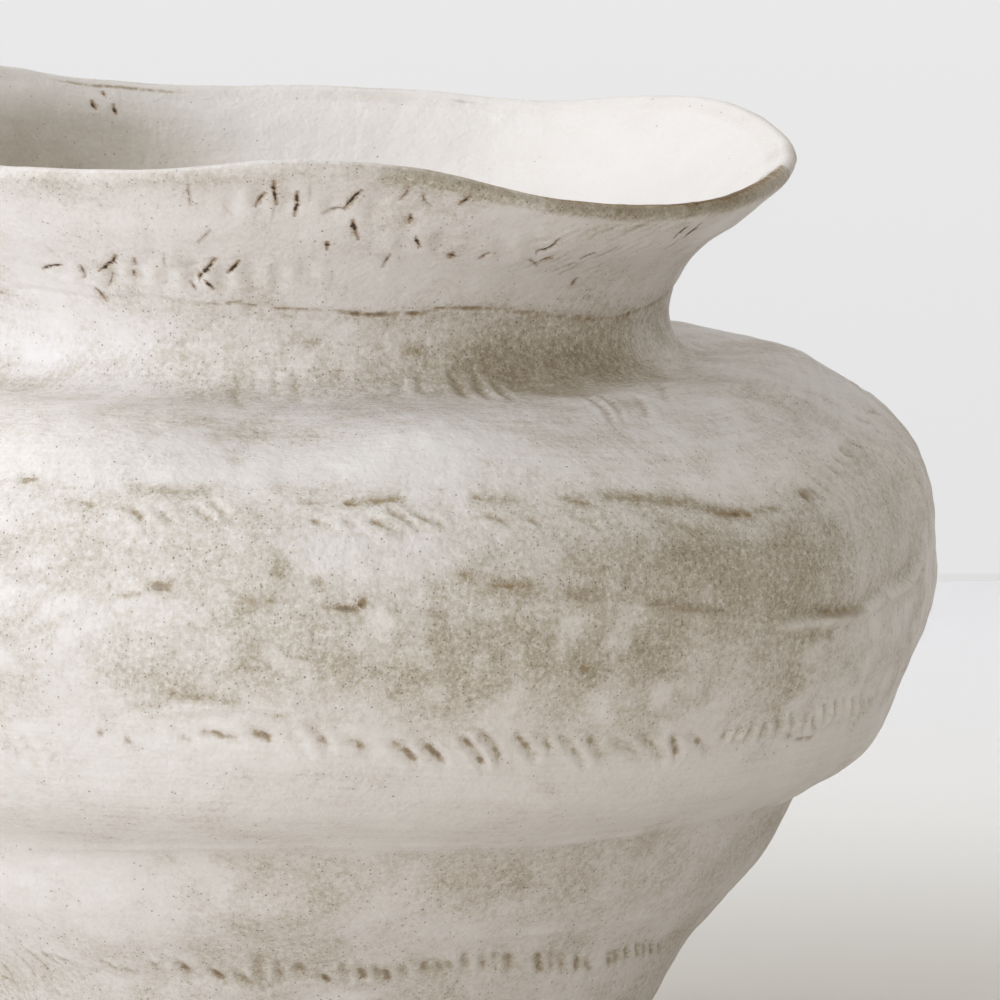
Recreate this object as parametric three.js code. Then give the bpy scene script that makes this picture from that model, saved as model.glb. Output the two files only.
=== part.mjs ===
// A coil-built stoneware pot: a round slab of clay for a floor, with eleven coils laid on it one on another, and a
// ruffled lip. Every coil is its own solid and sits on the bed of the coil below it.
// Millimetres, +Z up. The pot stands on z = 0 with its axis on Z, and its front is towards -Y.
import * as THREE from "three";

// The floor.
const footRadius = 82.5;
const slabThickness = 9;
const slabTopRadius = 84.5;
const slabEdgeBevel = 1.8;
const wallOnSlab = 9.5;
const coveReach = 7; // how far the clay smoothed into the corner runs in over the floor
const coveHeight = 8;

// How much further out the wall stands at the top of a coil than at its foot, where its form hangs on that.
const bellyFullness = 6.5;
const flareSpread = 9.5;
const lipSpread = 5.5;

// The outer radius of the wall at the top of each coil, from the foot up to the lip.
const footCoilRadius = 90.5;
const lowerWallRadius = 105;
const flankRadius = 128;
const lowerBellyRadius = 160.5;
const upperBellyRadius = lowerBellyRadius + bellyFullness;
const shoulderEdgeRadius = 152.5;
const neckRootRadius = 98;
const neckTopRadius = 97.5;
const collarRadius = 110.5;
const flareRadius = collarRadius + flareSpread;
const lipRadius = flareRadius + lipSpread;

// The height that each coil adds.
const footCoilRise = 23;
const lowerWallRise = 23;
const flankRise = 31.5;
const lowerBellyRise = 34;
const upperBellyRise = 34;
const lowerShoulderRise = 28;
const upperShoulderRise = 17.5;
const neckRise = 21;
const collarRise = 14.5;
const flareRise = 11;
const rimRise = 5;

// How thick the wall is at the top of each coil.
const footCoilWall = 8.5;
const lowerWallWall = 8;
const flankWall = 8;
const lowerBellyWall = 7.5;
const upperBellyWall = 7;
const lowerShoulderWall = 7;
const upperShoulderWall = 7;
const neckWall = 6.5;
const collarWall = 6;
const flareWall = 5.2;
const lipWall = 4.4;

// The coils from the floor up. swell is how far a coil's middle stands out from the straight line between its edges,
// and roll how far it still bulges between its two joints after smoothing. sway is how far its top edge wanders up
// the wall, at twelve places 30 degrees apart from +X through +Y.
const coils = [
  {
    name: "foot_coil", rise: footCoilRise, radius: footCoilRadius, wall: footCoilWall,
    swell: -0.4, roll: 0.5,
    sway: [0.5, -0.5, 0.5, 1, 0, -0.5, 0.5, 0, -0.5, 0.5, 0, -0.5],
  },
  {
    name: "lower_wall_coil", rise: lowerWallRise, radius: lowerWallRadius, wall: lowerWallWall,
    swell: -1.6, roll: 0.8,
    sway: [-3, -1, 1.5, 0.5, -1, 1, 2, 1, -4, -1, -1, -3],
  },
  {
    name: "flank_coil", rise: flankRise, radius: flankRadius, wall: flankWall,
    swell: 1.4, roll: 1,
    sway: [0, 1, 0, -1, 1.5, 0, -1, 1, 0.5, 3, 1, 4],
  },
  {
    name: "lower_belly_coil", rise: lowerBellyRise, radius: lowerBellyRadius, wall: lowerBellyWall,
    swell: 5, roll: 1.4,
    sway: [-3.5, 1, 2, -1, 0.5, 2, 0, 3, 8, 5.5, -4, -7],
  },
  {
    name: "upper_belly_coil", rise: upperBellyRise, radius: upperBellyRadius, wall: upperBellyWall,
    swell: 2.6, roll: 1,
    sway: [-4, 2, 0, -2, 1, 1.5, 0, 2, 4, 0, -4, -12],
  },
  {
    name: "lower_shoulder_coil", rise: lowerShoulderRise, radius: shoulderEdgeRadius, wall: lowerShoulderWall,
    swell: 4, roll: 1,
    sway: [9, 5, -1, 2, 0, -3, 1, 2, -5, 1, -2, -10],
  },
  {
    name: "upper_shoulder_coil", rise: upperShoulderRise, radius: neckRootRadius, wall: upperShoulderWall,
    swell: 5, roll: 0.8,
    sway: [0, 2, -3, 0, 2, 0, -2, -1, 1, 2, -6, -6],
  },
  {
    name: "neck_coil", rise: neckRise, radius: neckTopRadius, wall: neckWall,
    swell: -4, roll: 0.4,
    sway: [-4, 1, -1, 0.5, -1, 1, 0, -1, 1, -1, -5, -9],
  },
  {
    name: "collar_coil", rise: collarRise, radius: collarRadius, wall: collarWall,
    swell: -1.4, roll: 0.4,
    sway: [2, -1, 1, 0, 0.5, -1, 1, 0, -4, -3.5, -1, 1],
  },
  {
    name: "flare_coil", rise: flareRise, radius: flareRadius, wall: flareWall,
    swell: 0, roll: 0.3,
    sway: [0, 1, -0.5, 0, 0.5, 0, -1, 0, 1.5, -1, 3.5, 2],
  },
  {
    name: "rim_coil", rise: rimRise, radius: lipRadius, wall: lipWall,
    swell: 0.2, roll: 0,
    sway: [0, 0, 0, 0, 0, 0, 0, 0, 0, 0, 0, 0],
  },
];
const bedSlant = 2.5; // a coil's bed climbs this far along the wall from its outer edge to its inner edge

// The ruffle of the lip: how far it lies above its mean height, every 15 degrees from +X through +Y.
const lipLift = [
  -5, -1, 3, 2, -1.3, 1.1, 1.7, 1.8, 5.4, 10.9, 9, 3.5, -2, -5, -5.5, 1.5, 2, 3.1, 5.6, 3, -5, -9, -9.5, -7.5,
];
const lipLean = 0.15; // where the lip droops it also leans out, by this much for each millimetre
const ruffleStart = "neck_coil"; // the ruffle grows from the top edge of this coil up to the lip

// The shoulder's soft lobes: how far it is pushed up by hand, every 30 degrees from +X through +Y.
const shoulderLift = [2, 1, 1, 2.5, -1, 0.5, 2.5, -2, 4, 0, -1, -1];
const shoulderLobes = "lower_shoulder_coil"; // the lobes are largest at the top edge of this coil
const lobeReach = 50; // and fade out this far along the wall, up and down

// How far the pot is out of round. Each wave runs round the pot a whole number of times, and turns by so many
// degrees for each millimetre along the wall.
const outOfRound = [
  { waves: 2, reach: 1.6, turn: 0.9, start: 20 },
  { waves: 3, reach: 1.1, turn: -1.6, start: 100 },
  { waves: 5, reach: 0.6, turn: 2.2, start: 210 },
  { waves: 8, reach: 0.3, turn: 4, start: 40 },
];
const trueWall = 36; // the slab is cut true, and the unevenness grows over this much of the wall above it

// How finely the clay is cut into facets.
const facetsRound = 72;
const facetsUpOutside = 42;
const facetsUpInside = 20;
const leastRowsInside = 2; // so that a short coil's inside follows its outside where it curves in
const lipEdgeSteps = 4;
const stepsPerCoil = 40; // how finely the wall's length is measured

const glaze = new THREE.MeshStandardMaterial({ color: 0xd9d3ca, roughness: 0.62, metalness: 0 });
const bareClay = new THREE.MeshStandardMaterial({ color: 0xb9a68d, roughness: 0.9, metalness: 0 });

const radians = THREE.MathUtils.degToRad;
const smooth = THREE.MathUtils.smoothstep;
const topLevel = coils.length;
const coilNumber = (name) => coils.findIndex((coil) => coil.name === name);

// The joints' places in the wall's section: x is the radius, y the height. Level i is the bottom of coil i.
function jointPlaces() {
  const places = [new THREE.Vector2(slabTopRadius, slabThickness)];
  for (const coil of coils) places.push(new THREE.Vector2(coil.radius, places.at(-1).y + coil.rise));
  return places;
}
const joints = jointPlaces();
const walls = [wallOnSlab, ...coils.map((coil) => coil.wall)];

// The middle of a coil's outer face: half way between its edges, and out by its swell.
function coilMiddle(number) {
  const low = joints[number];
  const high = joints[number + 1];
  const outward = new THREE.Vector2(high.y - low.y, low.x - high.x).normalize();
  return low.clone().lerp(high, 0.5).addScaledVector(outward, coils[number].swell);
}

// One smooth line up the outside of the wall, through every joint and every coil's middle.
function sectionLine() {
  const points = [];
  joints.forEach((joint, number) => {
    points.push(new THREE.Vector3(joint.x, joint.y, 0));
    if (number < coils.length) points.push(new THREE.Vector3(...coilMiddle(number), 0));
  });
  const line = new THREE.CatmullRomCurve3(points, false, "centripetal");
  line.arcLengthDivisions = coils.length * stepsPerCoil;
  return line;
}
const section = sectionLine();

// How far along the wall each joint lies from the slab.
const jointLengths = joints.map((joint, number) => section.getLengths()[number * stepsPerCoil]);
const wallLength = jointLengths.at(-1);

// A smooth closed line through values that are evenly spaced round the pot.
function aroundPot(values) {
  const line = new THREE.CatmullRomCurve3(values.map((value) => new THREE.Vector3(0, value, 0)), true, "catmullrom");
  return (angle) => line.getPoint(THREE.MathUtils.euclideanModulo(angle / (2 * Math.PI), 1)).y;
}
const lipRuffle = aroundPot(lipLift);
const shoulderRuffle = aroundPot(shoulderLift);
const sways = [() => 0, ...coils.map((coil) => aroundPot(coil.sway))];

// A value between two joints, from a function that gives the value at a joint.
function between(atJoint, level) {
  const number = Math.min(Math.floor(level), topLevel - 1);
  return THREE.MathUtils.lerp(atJoint(number), atJoint(number + 1), level - number);
}

// The direction into the wall at a place along it. It lies flat at the slab, so that the first coil's bed is flat.
function intoWall(along) {
  const tangent = section.getTangentAt(along / wallLength);
  const square = new THREE.Vector2(-tangent.y, tangent.x);
  return new THREE.Vector2(-1, 0).lerp(square, smooth(along, 0, jointLengths[1])).normalize();
}

// How far the wall is from round at a place along it.
function unevenness(along, angle) {
  const waves = outOfRound.map(
    (term) => term.reach * Math.cos(term.waves * angle + radians(term.start + term.turn * along)),
  );
  return smooth(along, 0, trueWall) * waves.reduce((sum, value) => sum + value, 0);
}

// How far hands have lifted the wall at a place along it, at the shoulder and at the lip.
const shoulderRise = (along, angle) =>
  (1 - smooth(Math.abs(along - jointLengths[coilNumber(shoulderLobes) + 1]), 0, lobeReach)) * shoulderRuffle(angle);
const lipRise = (along, angle) =>
  smooth(along, jointLengths[coilNumber(ruffleStart) + 1], wallLength) * lipRuffle(angle);

// A point of the wall: level counts coils from the floor, depth is 0 on the outside and 1 on the inside, and over
// is how far the point lies past the level, along the wall.
function wallPoint({ level, depth, over = 0, inward = 0 }, angle) {
  const sway = between((number) => sways[number](angle), level);
  const along = between((number) => jointLengths[number], level) + sway;
  const place = section.getPointAt(along / wallLength);
  const tangent = section.getTangentAt(along / wallLength);
  const into = intoWall(along);
  const coil = coils[Math.min(Math.floor(level), topLevel - 1)];
  const bulge = coil.roll * Math.sin(Math.PI * (level % 1)) * (1 - depth);
  const below = depth * between((number) => walls[number], level) - bulge;
  const rise = lipRise(along, angle);
  const radius =
    place.x + into.x * below + tangent.x * over - inward + unevenness(along, angle) - rise * lipLean;
  const height = place.y + into.y * below + tangent.y * over + shoulderRise(along, angle) + rise;
  return [radius * Math.cos(angle), radius * Math.sin(angle), height];
}

// A ring-shaped solid through rings of points. Where two coils meet, both split their bed into the same triangles:
// each diagonal runs from a deeper point to the next shallower one.
function ringSolid(rings) {
  const positions = [];
  for (const ring of rings)
    for (let i = 0; i < facetsRound; i++) positions.push(...wallPoint(ring, (2 * Math.PI * i) / facetsRound));
  const index = [];
  rings.forEach((ring, k) => {
    const next = (k + 1) % rings.length;
    for (let i = 0; i < facetsRound; i++) {
      const j = (i + 1) % facetsRound;
      const a = k * facetsRound + i;
      const b = next * facetsRound + i;
      const c = next * facetsRound + j;
      const d = k * facetsRound + j;
      if (ring.depth > rings[next].depth) index.push(a, c, b, a, d, c);
      else index.push(a, d, b, b, d, c);
    }
  });
  return finished(new THREE.BufferGeometry().setIndex(index), positions);
}

function finished(geometry, positions) {
  geometry.setAttribute("position", new THREE.Float32BufferAttribute(positions, 3));
  geometry.computeVertexNormals();
  return geometry;
}

const coilLength = (number) => jointLengths[number + 1] - jointLengths[number];

// The inside edge of the bed at a joint lies further along the wall than the outside edge.
const bedLevel = (number) => (number === 0 || number === topLevel ? number : number + bedSlant / coilLength(number));

// The rings of one coil, up its outside, in over its top, down its inside and out over its bed.
function coilRings(number) {
  const share = coilLength(number) / wallLength;
  const outerRows = Math.max(2, Math.round(facetsUpOutside * share));
  const innerRows = Math.max(leastRowsInside, Math.round(facetsUpInside * share));
  const rings = [];
  for (let row = 0; row <= outerRows; row++) rings.push({ level: number + row / outerRows, depth: 0 });
  if (number === topLevel - 1) rings.push(...lipEdge());
  const innerTop = bedLevel(number + 1);
  const innerBottom = bedLevel(number);
  for (let row = innerRows; row >= 0; row--)
    rings.push({ level: THREE.MathUtils.lerp(innerBottom, innerTop, row / innerRows), depth: 1 });
  if (number === 0) rings.splice(-1, 1, ...cove());
  return rings;
}

// The lip's edge is half round, from the outside over to the inside.
function lipEdge() {
  const rings = [];
  for (let step = 1; step < lipEdgeSteps; step++) {
    const turned = (Math.PI * step) / lipEdgeSteps;
    const over = (lipWall / 2) * Math.sin(turned);
    rings.push({ level: topLevel, depth: (1 - Math.cos(turned)) / 2, over });
  }
  return rings;
}

// Inside the first coil the clay is smoothed out over the slab.
function cove() {
  const risen = coveHeight / coils[0].rise;
  return [
    { level: risen, depth: 1 },
    { level: risen * 0.3, depth: 1, inward: coveReach * 0.3 },
    { level: 0, depth: 1, inward: coveReach },
  ];
}

// The floor slab: a round disc with a small bevel where it was cut from its board.
function slabSolid() {
  const outline = [
    new THREE.Vector2(0, 0),
    new THREE.Vector2(footRadius - slabEdgeBevel, 0),
    new THREE.Vector2(footRadius, slabEdgeBevel),
    new THREE.Vector2(slabTopRadius, slabThickness),
    new THREE.Vector2(slabTopRadius - wallOnSlab - coveReach, slabThickness),
    new THREE.Vector2(0, slabThickness),
  ];
  return new THREE.LatheGeometry(outline, facetsRound).rotateX(Math.PI / 2);
}

function piece(name, geometry, material) {
  const mesh = new THREE.Mesh(geometry, material);
  mesh.name = name;
  return mesh;
}

const pot = new THREE.Group();
pot.add(piece("base_slab", slabSolid(), bareClay));
coils.forEach((coil, number) => pot.add(piece(coil.name, ringSolid(coilRings(number)), glaze)));

export default pot;
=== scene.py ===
"""A coil-built stoneware pot under a matt white glaze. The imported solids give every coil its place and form.
This script works the surface of the clay as hands left it, glazes it, and sets up the floor, the lamps and
the camera. Blender works in metres. The clay's own measures below are in millimetres."""
import math

import bpy
import numpy as np
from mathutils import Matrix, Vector
from mathutils.kdtree import KDTree


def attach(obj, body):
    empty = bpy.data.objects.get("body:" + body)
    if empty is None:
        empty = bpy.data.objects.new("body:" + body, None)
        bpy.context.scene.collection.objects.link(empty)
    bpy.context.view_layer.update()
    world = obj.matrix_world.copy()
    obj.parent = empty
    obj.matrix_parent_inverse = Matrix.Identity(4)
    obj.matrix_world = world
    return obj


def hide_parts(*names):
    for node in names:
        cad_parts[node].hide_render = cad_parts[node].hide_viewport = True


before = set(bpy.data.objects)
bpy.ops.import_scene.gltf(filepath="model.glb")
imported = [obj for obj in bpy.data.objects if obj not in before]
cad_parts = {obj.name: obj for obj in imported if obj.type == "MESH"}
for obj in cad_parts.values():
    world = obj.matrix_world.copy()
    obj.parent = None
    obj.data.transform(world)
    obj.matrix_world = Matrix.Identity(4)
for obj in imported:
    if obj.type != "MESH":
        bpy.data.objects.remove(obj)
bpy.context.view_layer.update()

MM = 0.001
SEED = 1973

# The photograph is a square of 1000 pixels. The camera stands in front of the pot and a little above it.
PHOTO_WIDTH = 1000
SENSOR_WIDTH = 36.0
LENS = 487.2
CAMERA_AIM = Vector((0.0517, 0.0, 0.1604))
CAMERA_DISTANCE = 3.5
CAMERA_RISE = math.radians(7)
CAMERA_BACK = Vector((0, -math.cos(CAMERA_RISE), math.sin(CAMERA_RISE)))

# The pieces from the floor up. Joint i lies between piece i and piece i + 1.
SLAB = "base_slab"
COILS = [
    "foot_coil", "lower_wall_coil", "flank_coil", "lower_belly_coil", "upper_belly_coil",
    "lower_shoulder_coil", "upper_shoulder_coil", "neck_coil", "collar_coil", "flare_coil", "rim_coil",
]
PIECES = [SLAB] + COILS
FOOT, WALL, FLANK, BELLY, WAIST, SHOULDER, CREASE, NECK, COLLAR, FLARE, LIP = range(1, 12)
FRONT = -90.0  # degrees: the front of the pot is towards -Y
COLUMNS = 72  # each solid has so many columns of facets round the pot
COLUMN = math.tau / COLUMNS
SAME_POINT = 0.01 * MM
ON_BED = 0.05 * MM  # this close to a point of its neighbour, a point lies where the two meet
SLAB_TOP = 9.0  # millimetres
SLAB_FLOOR = 80.0  # millimetres: nearer to the axis than this, the slab's top is inside the pot
SLAB_RINGS = {-1: (1.6, 4, 22), 1: (5, 18)}  # how far apart rings are set in, on its underside and its floor
SMOOTHING = 3


# The clay skin, grown from the solids.

def deselect():
    if bpy.context.mode != "OBJECT":
        bpy.ops.object.mode_set(mode="OBJECT")
    bpy.ops.object.select_all(action="DESELECT")


def edit(piece, select_mode="FACE"):
    """Opens a piece in edit mode with nothing of it selected."""
    deselect()
    bpy.context.view_layer.objects.active = piece
    piece.select_set(True)
    bpy.ops.object.mode_set(mode="EDIT")
    bpy.ops.mesh.select_mode(type=select_mode)
    bpy.ops.mesh.select_all(action="DESELECT")


def close_edit():
    bpy.ops.object.mode_set(mode="OBJECT")


def pick(piece, kind, wanted):
    """Opens a piece in edit mode with only the wanted ones of its edges or faces selected."""
    edit(piece, kind)
    close_edit()
    members = piece.data.edges if kind == "EDGE" else piece.data.polygons
    picked = np.zeros(len(members), bool)
    picked[:len(wanted)] = wanted
    members.foreach_set("select", picked)
    bpy.ops.object.mode_set(mode="EDIT")


def places(mesh):
    """The places of a mesh's vertices, one row each."""
    flat = np.empty(len(mesh.vertices) * 3, np.float32)
    mesh.vertices.foreach_get("co", flat)
    return flat.reshape(-1, 3)


def copied_clay(name):
    """A copy of a solid, with its doubles merged and its solid's finish taken off."""
    piece = bpy.data.objects.new(name + "_cage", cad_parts[name].data.copy())
    bpy.context.scene.collection.objects.link(piece)
    piece.data.materials.clear()
    edit(piece, "VERT")
    bpy.ops.mesh.select_all(action="SELECT")
    bpy.ops.mesh.remove_doubles(threshold=SAME_POINT)
    bpy.ops.mesh.customdata_custom_splitnormals_clear()
    close_edit()
    return piece


def shared_places(piece, neighbour):
    """Which vertices of a piece lie on a vertex of its neighbour."""
    tree = KDTree(len(neighbour))
    for index, place in enumerate(neighbour):
        tree.insert(place, index)
    tree.balance()
    return np.array([tree.find(place)[2] < ON_BED for place in places(piece.data)])


def open_beds(piece, neighbours):
    """Takes off the faces on which a piece meets the ones below and above it."""
    shared = [shared_places(piece, neighbour) for neighbour in neighbours]
    faces = [list(polygon.vertices) for polygon in piece.data.polygons]
    pick(piece, "FACE", [any(on_bed[face].all() for on_bed in shared) for face in faces])
    bpy.ops.mesh.delete(type="FACE")
    close_edit()


def rings_from(mesh, start):
    """How many rings of faces each vertex lies from the starting ones."""
    faces = [list(polygon.vertices) for polygon in mesh.polygons]
    touching = [[] for _ in mesh.vertices]
    for face in faces:
        for vertex in face:
            touching[vertex].append(face)
    steps = np.full(len(mesh.vertices), -1)
    steps[start] = 0
    front = list(start)
    while front:
        reached = set()
        for vertex in front:
            for face in touching[vertex]:
                reached.update(other for other in face if steps[other] < 0)
        for other in reached:
            steps[other] = steps[front[0]] + 1
        front = list(reached)
    return steps


def add_values(mesh, name, values, kind="FLOAT"):
    """Keeps one value for each vertex under a name."""
    attribute = mesh.attributes.get(name) or mesh.attributes.new(name, kind, "POINT")
    field = "value" if kind == "FLOAT" else "vector"
    attribute.data.foreach_set(field, np.ascontiguousarray(values, np.float32).ravel())


def get_values(mesh, name, kind="FLOAT"):
    width = 1 if kind == "FLOAT" else 3
    values = np.empty(len(mesh.vertices) * width, np.float32)
    mesh.attributes[name].data.foreach_get("value" if kind == "FLOAT" else "vector", values)
    return values if width == 1 else values.reshape(-1, 3)


def mark_levels(piece, number, below):
    """Gives each vertex of a coil its level, which counts joints up the wall, and says if it is inside."""
    mesh = piece.data
    bed = np.flatnonzero(shared_places(piece, below))
    across, deep, _ = places(mesh)[bed].T
    column = np.round(np.arctan2(deep, across) / COLUMN).astype(int) % COLUMNS
    in_turn = bed[np.lexsort((np.hypot(across, deep), column))]
    inner = rings_from(mesh, in_turn[0::2])
    outer = rings_from(mesh, in_turn[1::2])
    if PIECES[number] == COILS[-1]:
        crest = outer.max() // 2
        rise = np.clip(np.minimum(outer, inner) / (crest - 2), 0, 1)
        inside = np.clip((outer - (crest - 2)) / 4, 0, 1)
    else:
        is_inner = outer < 0
        steps = np.where(is_inner, inner, outer)
        rise = steps / np.where(is_inner, inner.max(), outer.max())
        inside = is_inner.astype(float)
    add_values(mesh, "level", number - 1 + rise)
    add_values(mesh, "inside", inside)


def mark_slab(piece):
    """The slab's edge lies below the first joint. Its underside is level -1, and its top is inside."""
    mesh = piece.data
    place = places(mesh)
    height = place[:, 2] / MM
    radius = np.hypot(place[:, 0], place[:, 1]) / MM
    inside = (height > SLAB_TOP - 0.5) & (radius < SLAB_FLOOR)
    add_values(mesh, "level", np.where(inside, 0.0, height / SLAB_TOP - 1))
    add_values(mesh, "inside", inside)


def edge_steps(mesh):
    """For each edge of a cage: how far it turns, if it stays on one ring, and if it is clear of the axis."""
    place = places(mesh)
    ends = np.array([edge.vertices[:] for edge in mesh.edges])
    turn = np.arctan2(place[:, 1], place[:, 0])[ends]
    apart = np.abs((turn[:, 0] - turn[:, 1] + math.pi) % math.tau - math.pi)
    radius = np.hypot(place[:, 0], place[:, 1])[ends]
    level = get_values(mesh, "level")[ends]
    inside = get_values(mesh, "inside")[ends]
    clear = radius.min(1) > 1 * MM
    on_ring = (np.abs(level[:, 0] - level[:, 1]) < 1e-4) & (np.abs(inside[:, 0] - inside[:, 1]) < 1e-4)
    return apart, on_ring & clear, clear


def drop_diagonals(piece):
    """Makes each two triangles of the cage the quad that they were cut from."""
    apart, on_ring, clear = edge_steps(piece.data)
    pick(piece, "EDGE", (apart > 0.5 * COLUMN) & clear & ~on_ring)
    bpy.ops.mesh.dissolve_edges(use_verts=False)
    close_edit()


def thin_inside(piece):
    """Takes a ring of faces out of a piece's inner side, so that it stays light when it is smoothed."""
    mesh = piece.data
    ends = np.array([edge.vertices[:] for edge in mesh.edges])
    level = get_values(mesh, "level")[ends]
    inside = get_values(mesh, "inside")[ends]
    pick(piece, "EDGE", (inside.min(1) > 0.5) & (np.abs(level % 1 - 0.5).max(1) < 0.01))
    bpy.ops.mesh.dissolve_edges(use_verts=True)
    close_edit()


def inset_discs(piece):
    """Rings of faces on the slab's underside and floor, so that its edges keep their shape when smoothed."""
    for facing, widths in SLAB_RINGS.items():
        for width in widths:
            faces = piece.data.polygons
            pick(piece, "FACE", [face.normal.z * facing > 0.99 and len(face.vertices) == 3 for face in faces])
            bpy.ops.mesh.inset(thickness=width * MM)
            close_edit()


def split_columns(piece):
    """Splits every ring of the cage once more round the pot, and sets the new points out to the round."""
    mesh = piece.data
    apart, on_ring, _ = edge_steps(mesh)
    before = len(mesh.vertices)
    pick(piece, "EDGE", on_ring & (apart > 0.5 * COLUMN))
    bpy.ops.mesh.subdivide(number_cuts=1)
    close_edit()
    place = places(mesh)
    place[before:, :2] /= math.cos(COLUMN / 2)
    mesh.vertices.foreach_set("co", place.ravel())
    mesh.update()


def joined(pieces, name):
    deselect()
    for piece in pieces:
        piece.select_set(True)
    bpy.context.view_layer.objects.active = pieces[0]
    bpy.ops.object.join()
    pieces[0].name = name
    return pieces[0]


def clay_skin():
    """The pot's whole surface as one smooth skin of small quads. A face's finish number is its piece's."""
    cages = [copied_clay(name) for name in PIECES]
    solid_places = [places(cage.data) for cage in cages]
    for number, cage in enumerate(cages):
        neighbours = [solid_places[other] for other in (number - 1, number + 1) if 0 <= other < len(cages)]
        open_beds(cage, neighbours)
        if number:
            mark_levels(cage, number, solid_places[number - 1])
            drop_diagonals(cage)
            if number == CREASE:
                thin_inside(cage)
        else:
            mark_slab(cage)
            drop_diagonals(cage)
            inset_discs(cage)
            mark_slab(cage)
        for name in PIECES:
            cage.data.materials.append(bpy.data.materials.get(name) or bpy.data.materials.new(name))
        cage.data.polygons.foreach_set("material_index", [number] * len(cage.data.polygons))
    skin = joined(cages, "clay_skin")
    edit(skin, "VERT")
    bpy.ops.mesh.select_all(action="SELECT")
    bpy.ops.mesh.remove_doubles(threshold=SAME_POINT)
    close_edit()
    split_columns(skin)
    smoothing = skin.modifiers.new("smoothed", "SUBSURF")
    smoothing.levels = smoothing.render_levels = SMOOTHING
    deselect()
    bpy.context.view_layer.objects.active = skin
    bpy.ops.object.modifier_apply(modifier=smoothing.name)
    return skin


# Working the clay.

SKIN_ROUND = 120.0  # the radius at which patterns that are drawn round the pot keep their size
INSIDE_AWAY = 400.0  # how far the patterns inside lie from those outside
IN_SIGHT = 0.04  # a point faces the camera at least this much where it shows
BEYOND_PHOTO = 20  # pixels past the photograph's edge in which marks are still placed
PIXEL_REACH = 9  # pixels round a mark's end from which its place on the wall is worked out
WALL_REACH = 25  # millimetres: points further back than this are another part of the wall
BAND = 12  # millimetres up and down the wall over which a mark's radius is measured


def wrapped(turn):
    """An angle as the short way round."""
    return (turn + math.pi) % math.tau - math.pi


def rolled_up(turn, height):
    """Places on an upright cylinder about as wide as the pot, for patterns that are drawn round it."""
    return np.stack([SKIN_ROUND * np.cos(turn), SKIN_ROUND * np.sin(turn), height], 1)


def to_photo(place):
    """Where points show in the photograph, in pixels across and down."""
    eye = (CAMERA_AIM + CAMERA_DISTANCE * CAMERA_BACK) / MM
    up = Vector((0, math.sin(CAMERA_RISE), math.cos(CAMERA_RISE)))
    seen = place - np.array(eye)
    scale = PHOTO_WIDTH * LENS / SENSOR_WIDTH / (seen @ -np.array(CAMERA_BACK))
    middle = PHOTO_WIDTH / 2
    return np.stack([middle + seen[:, 0] * scale, middle - (seen @ np.array(up)) * scale], 1)


def bumps(at, size, seed):
    """Smooth random bumps, from about -1 to 1, that lie about size millimetres apart."""
    random = np.random.RandomState(SEED + seed)
    order = random.permutation(256)
    slopes = random.normal(size=(256, 3)).astype(np.float32)
    slopes /= np.linalg.norm(slopes, axis=1, keepdims=True)
    cell = np.floor(at / size).astype(np.int64)
    part = (at / size - cell).astype(np.float32)
    ease = part * part * part * (part * (part * 6 - 15) + 10)
    total = np.zeros(len(at), np.float32)
    for corner in np.ndindex(2, 2, 2):
        number = cell + corner
        pick = order[(order[(order[number[:, 0] % 256] + number[:, 1]) % 256] + number[:, 2]) % 256]
        weight = np.prod(np.where(corner, ease, 1 - ease), axis=1)
        total += weight * np.einsum("ij,ij->i", slopes[pick], part - np.array(corner, np.float32))
    return total * 1.7


def hill(distance, width):
    return np.exp(-np.square(distance / width))


def step(value, low, high):
    """0 below low, 1 above high, and smooth between them."""
    share = np.clip((value - low) / (high - low), 0, 1)
    return share * share * (3 - 2 * share)


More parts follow.
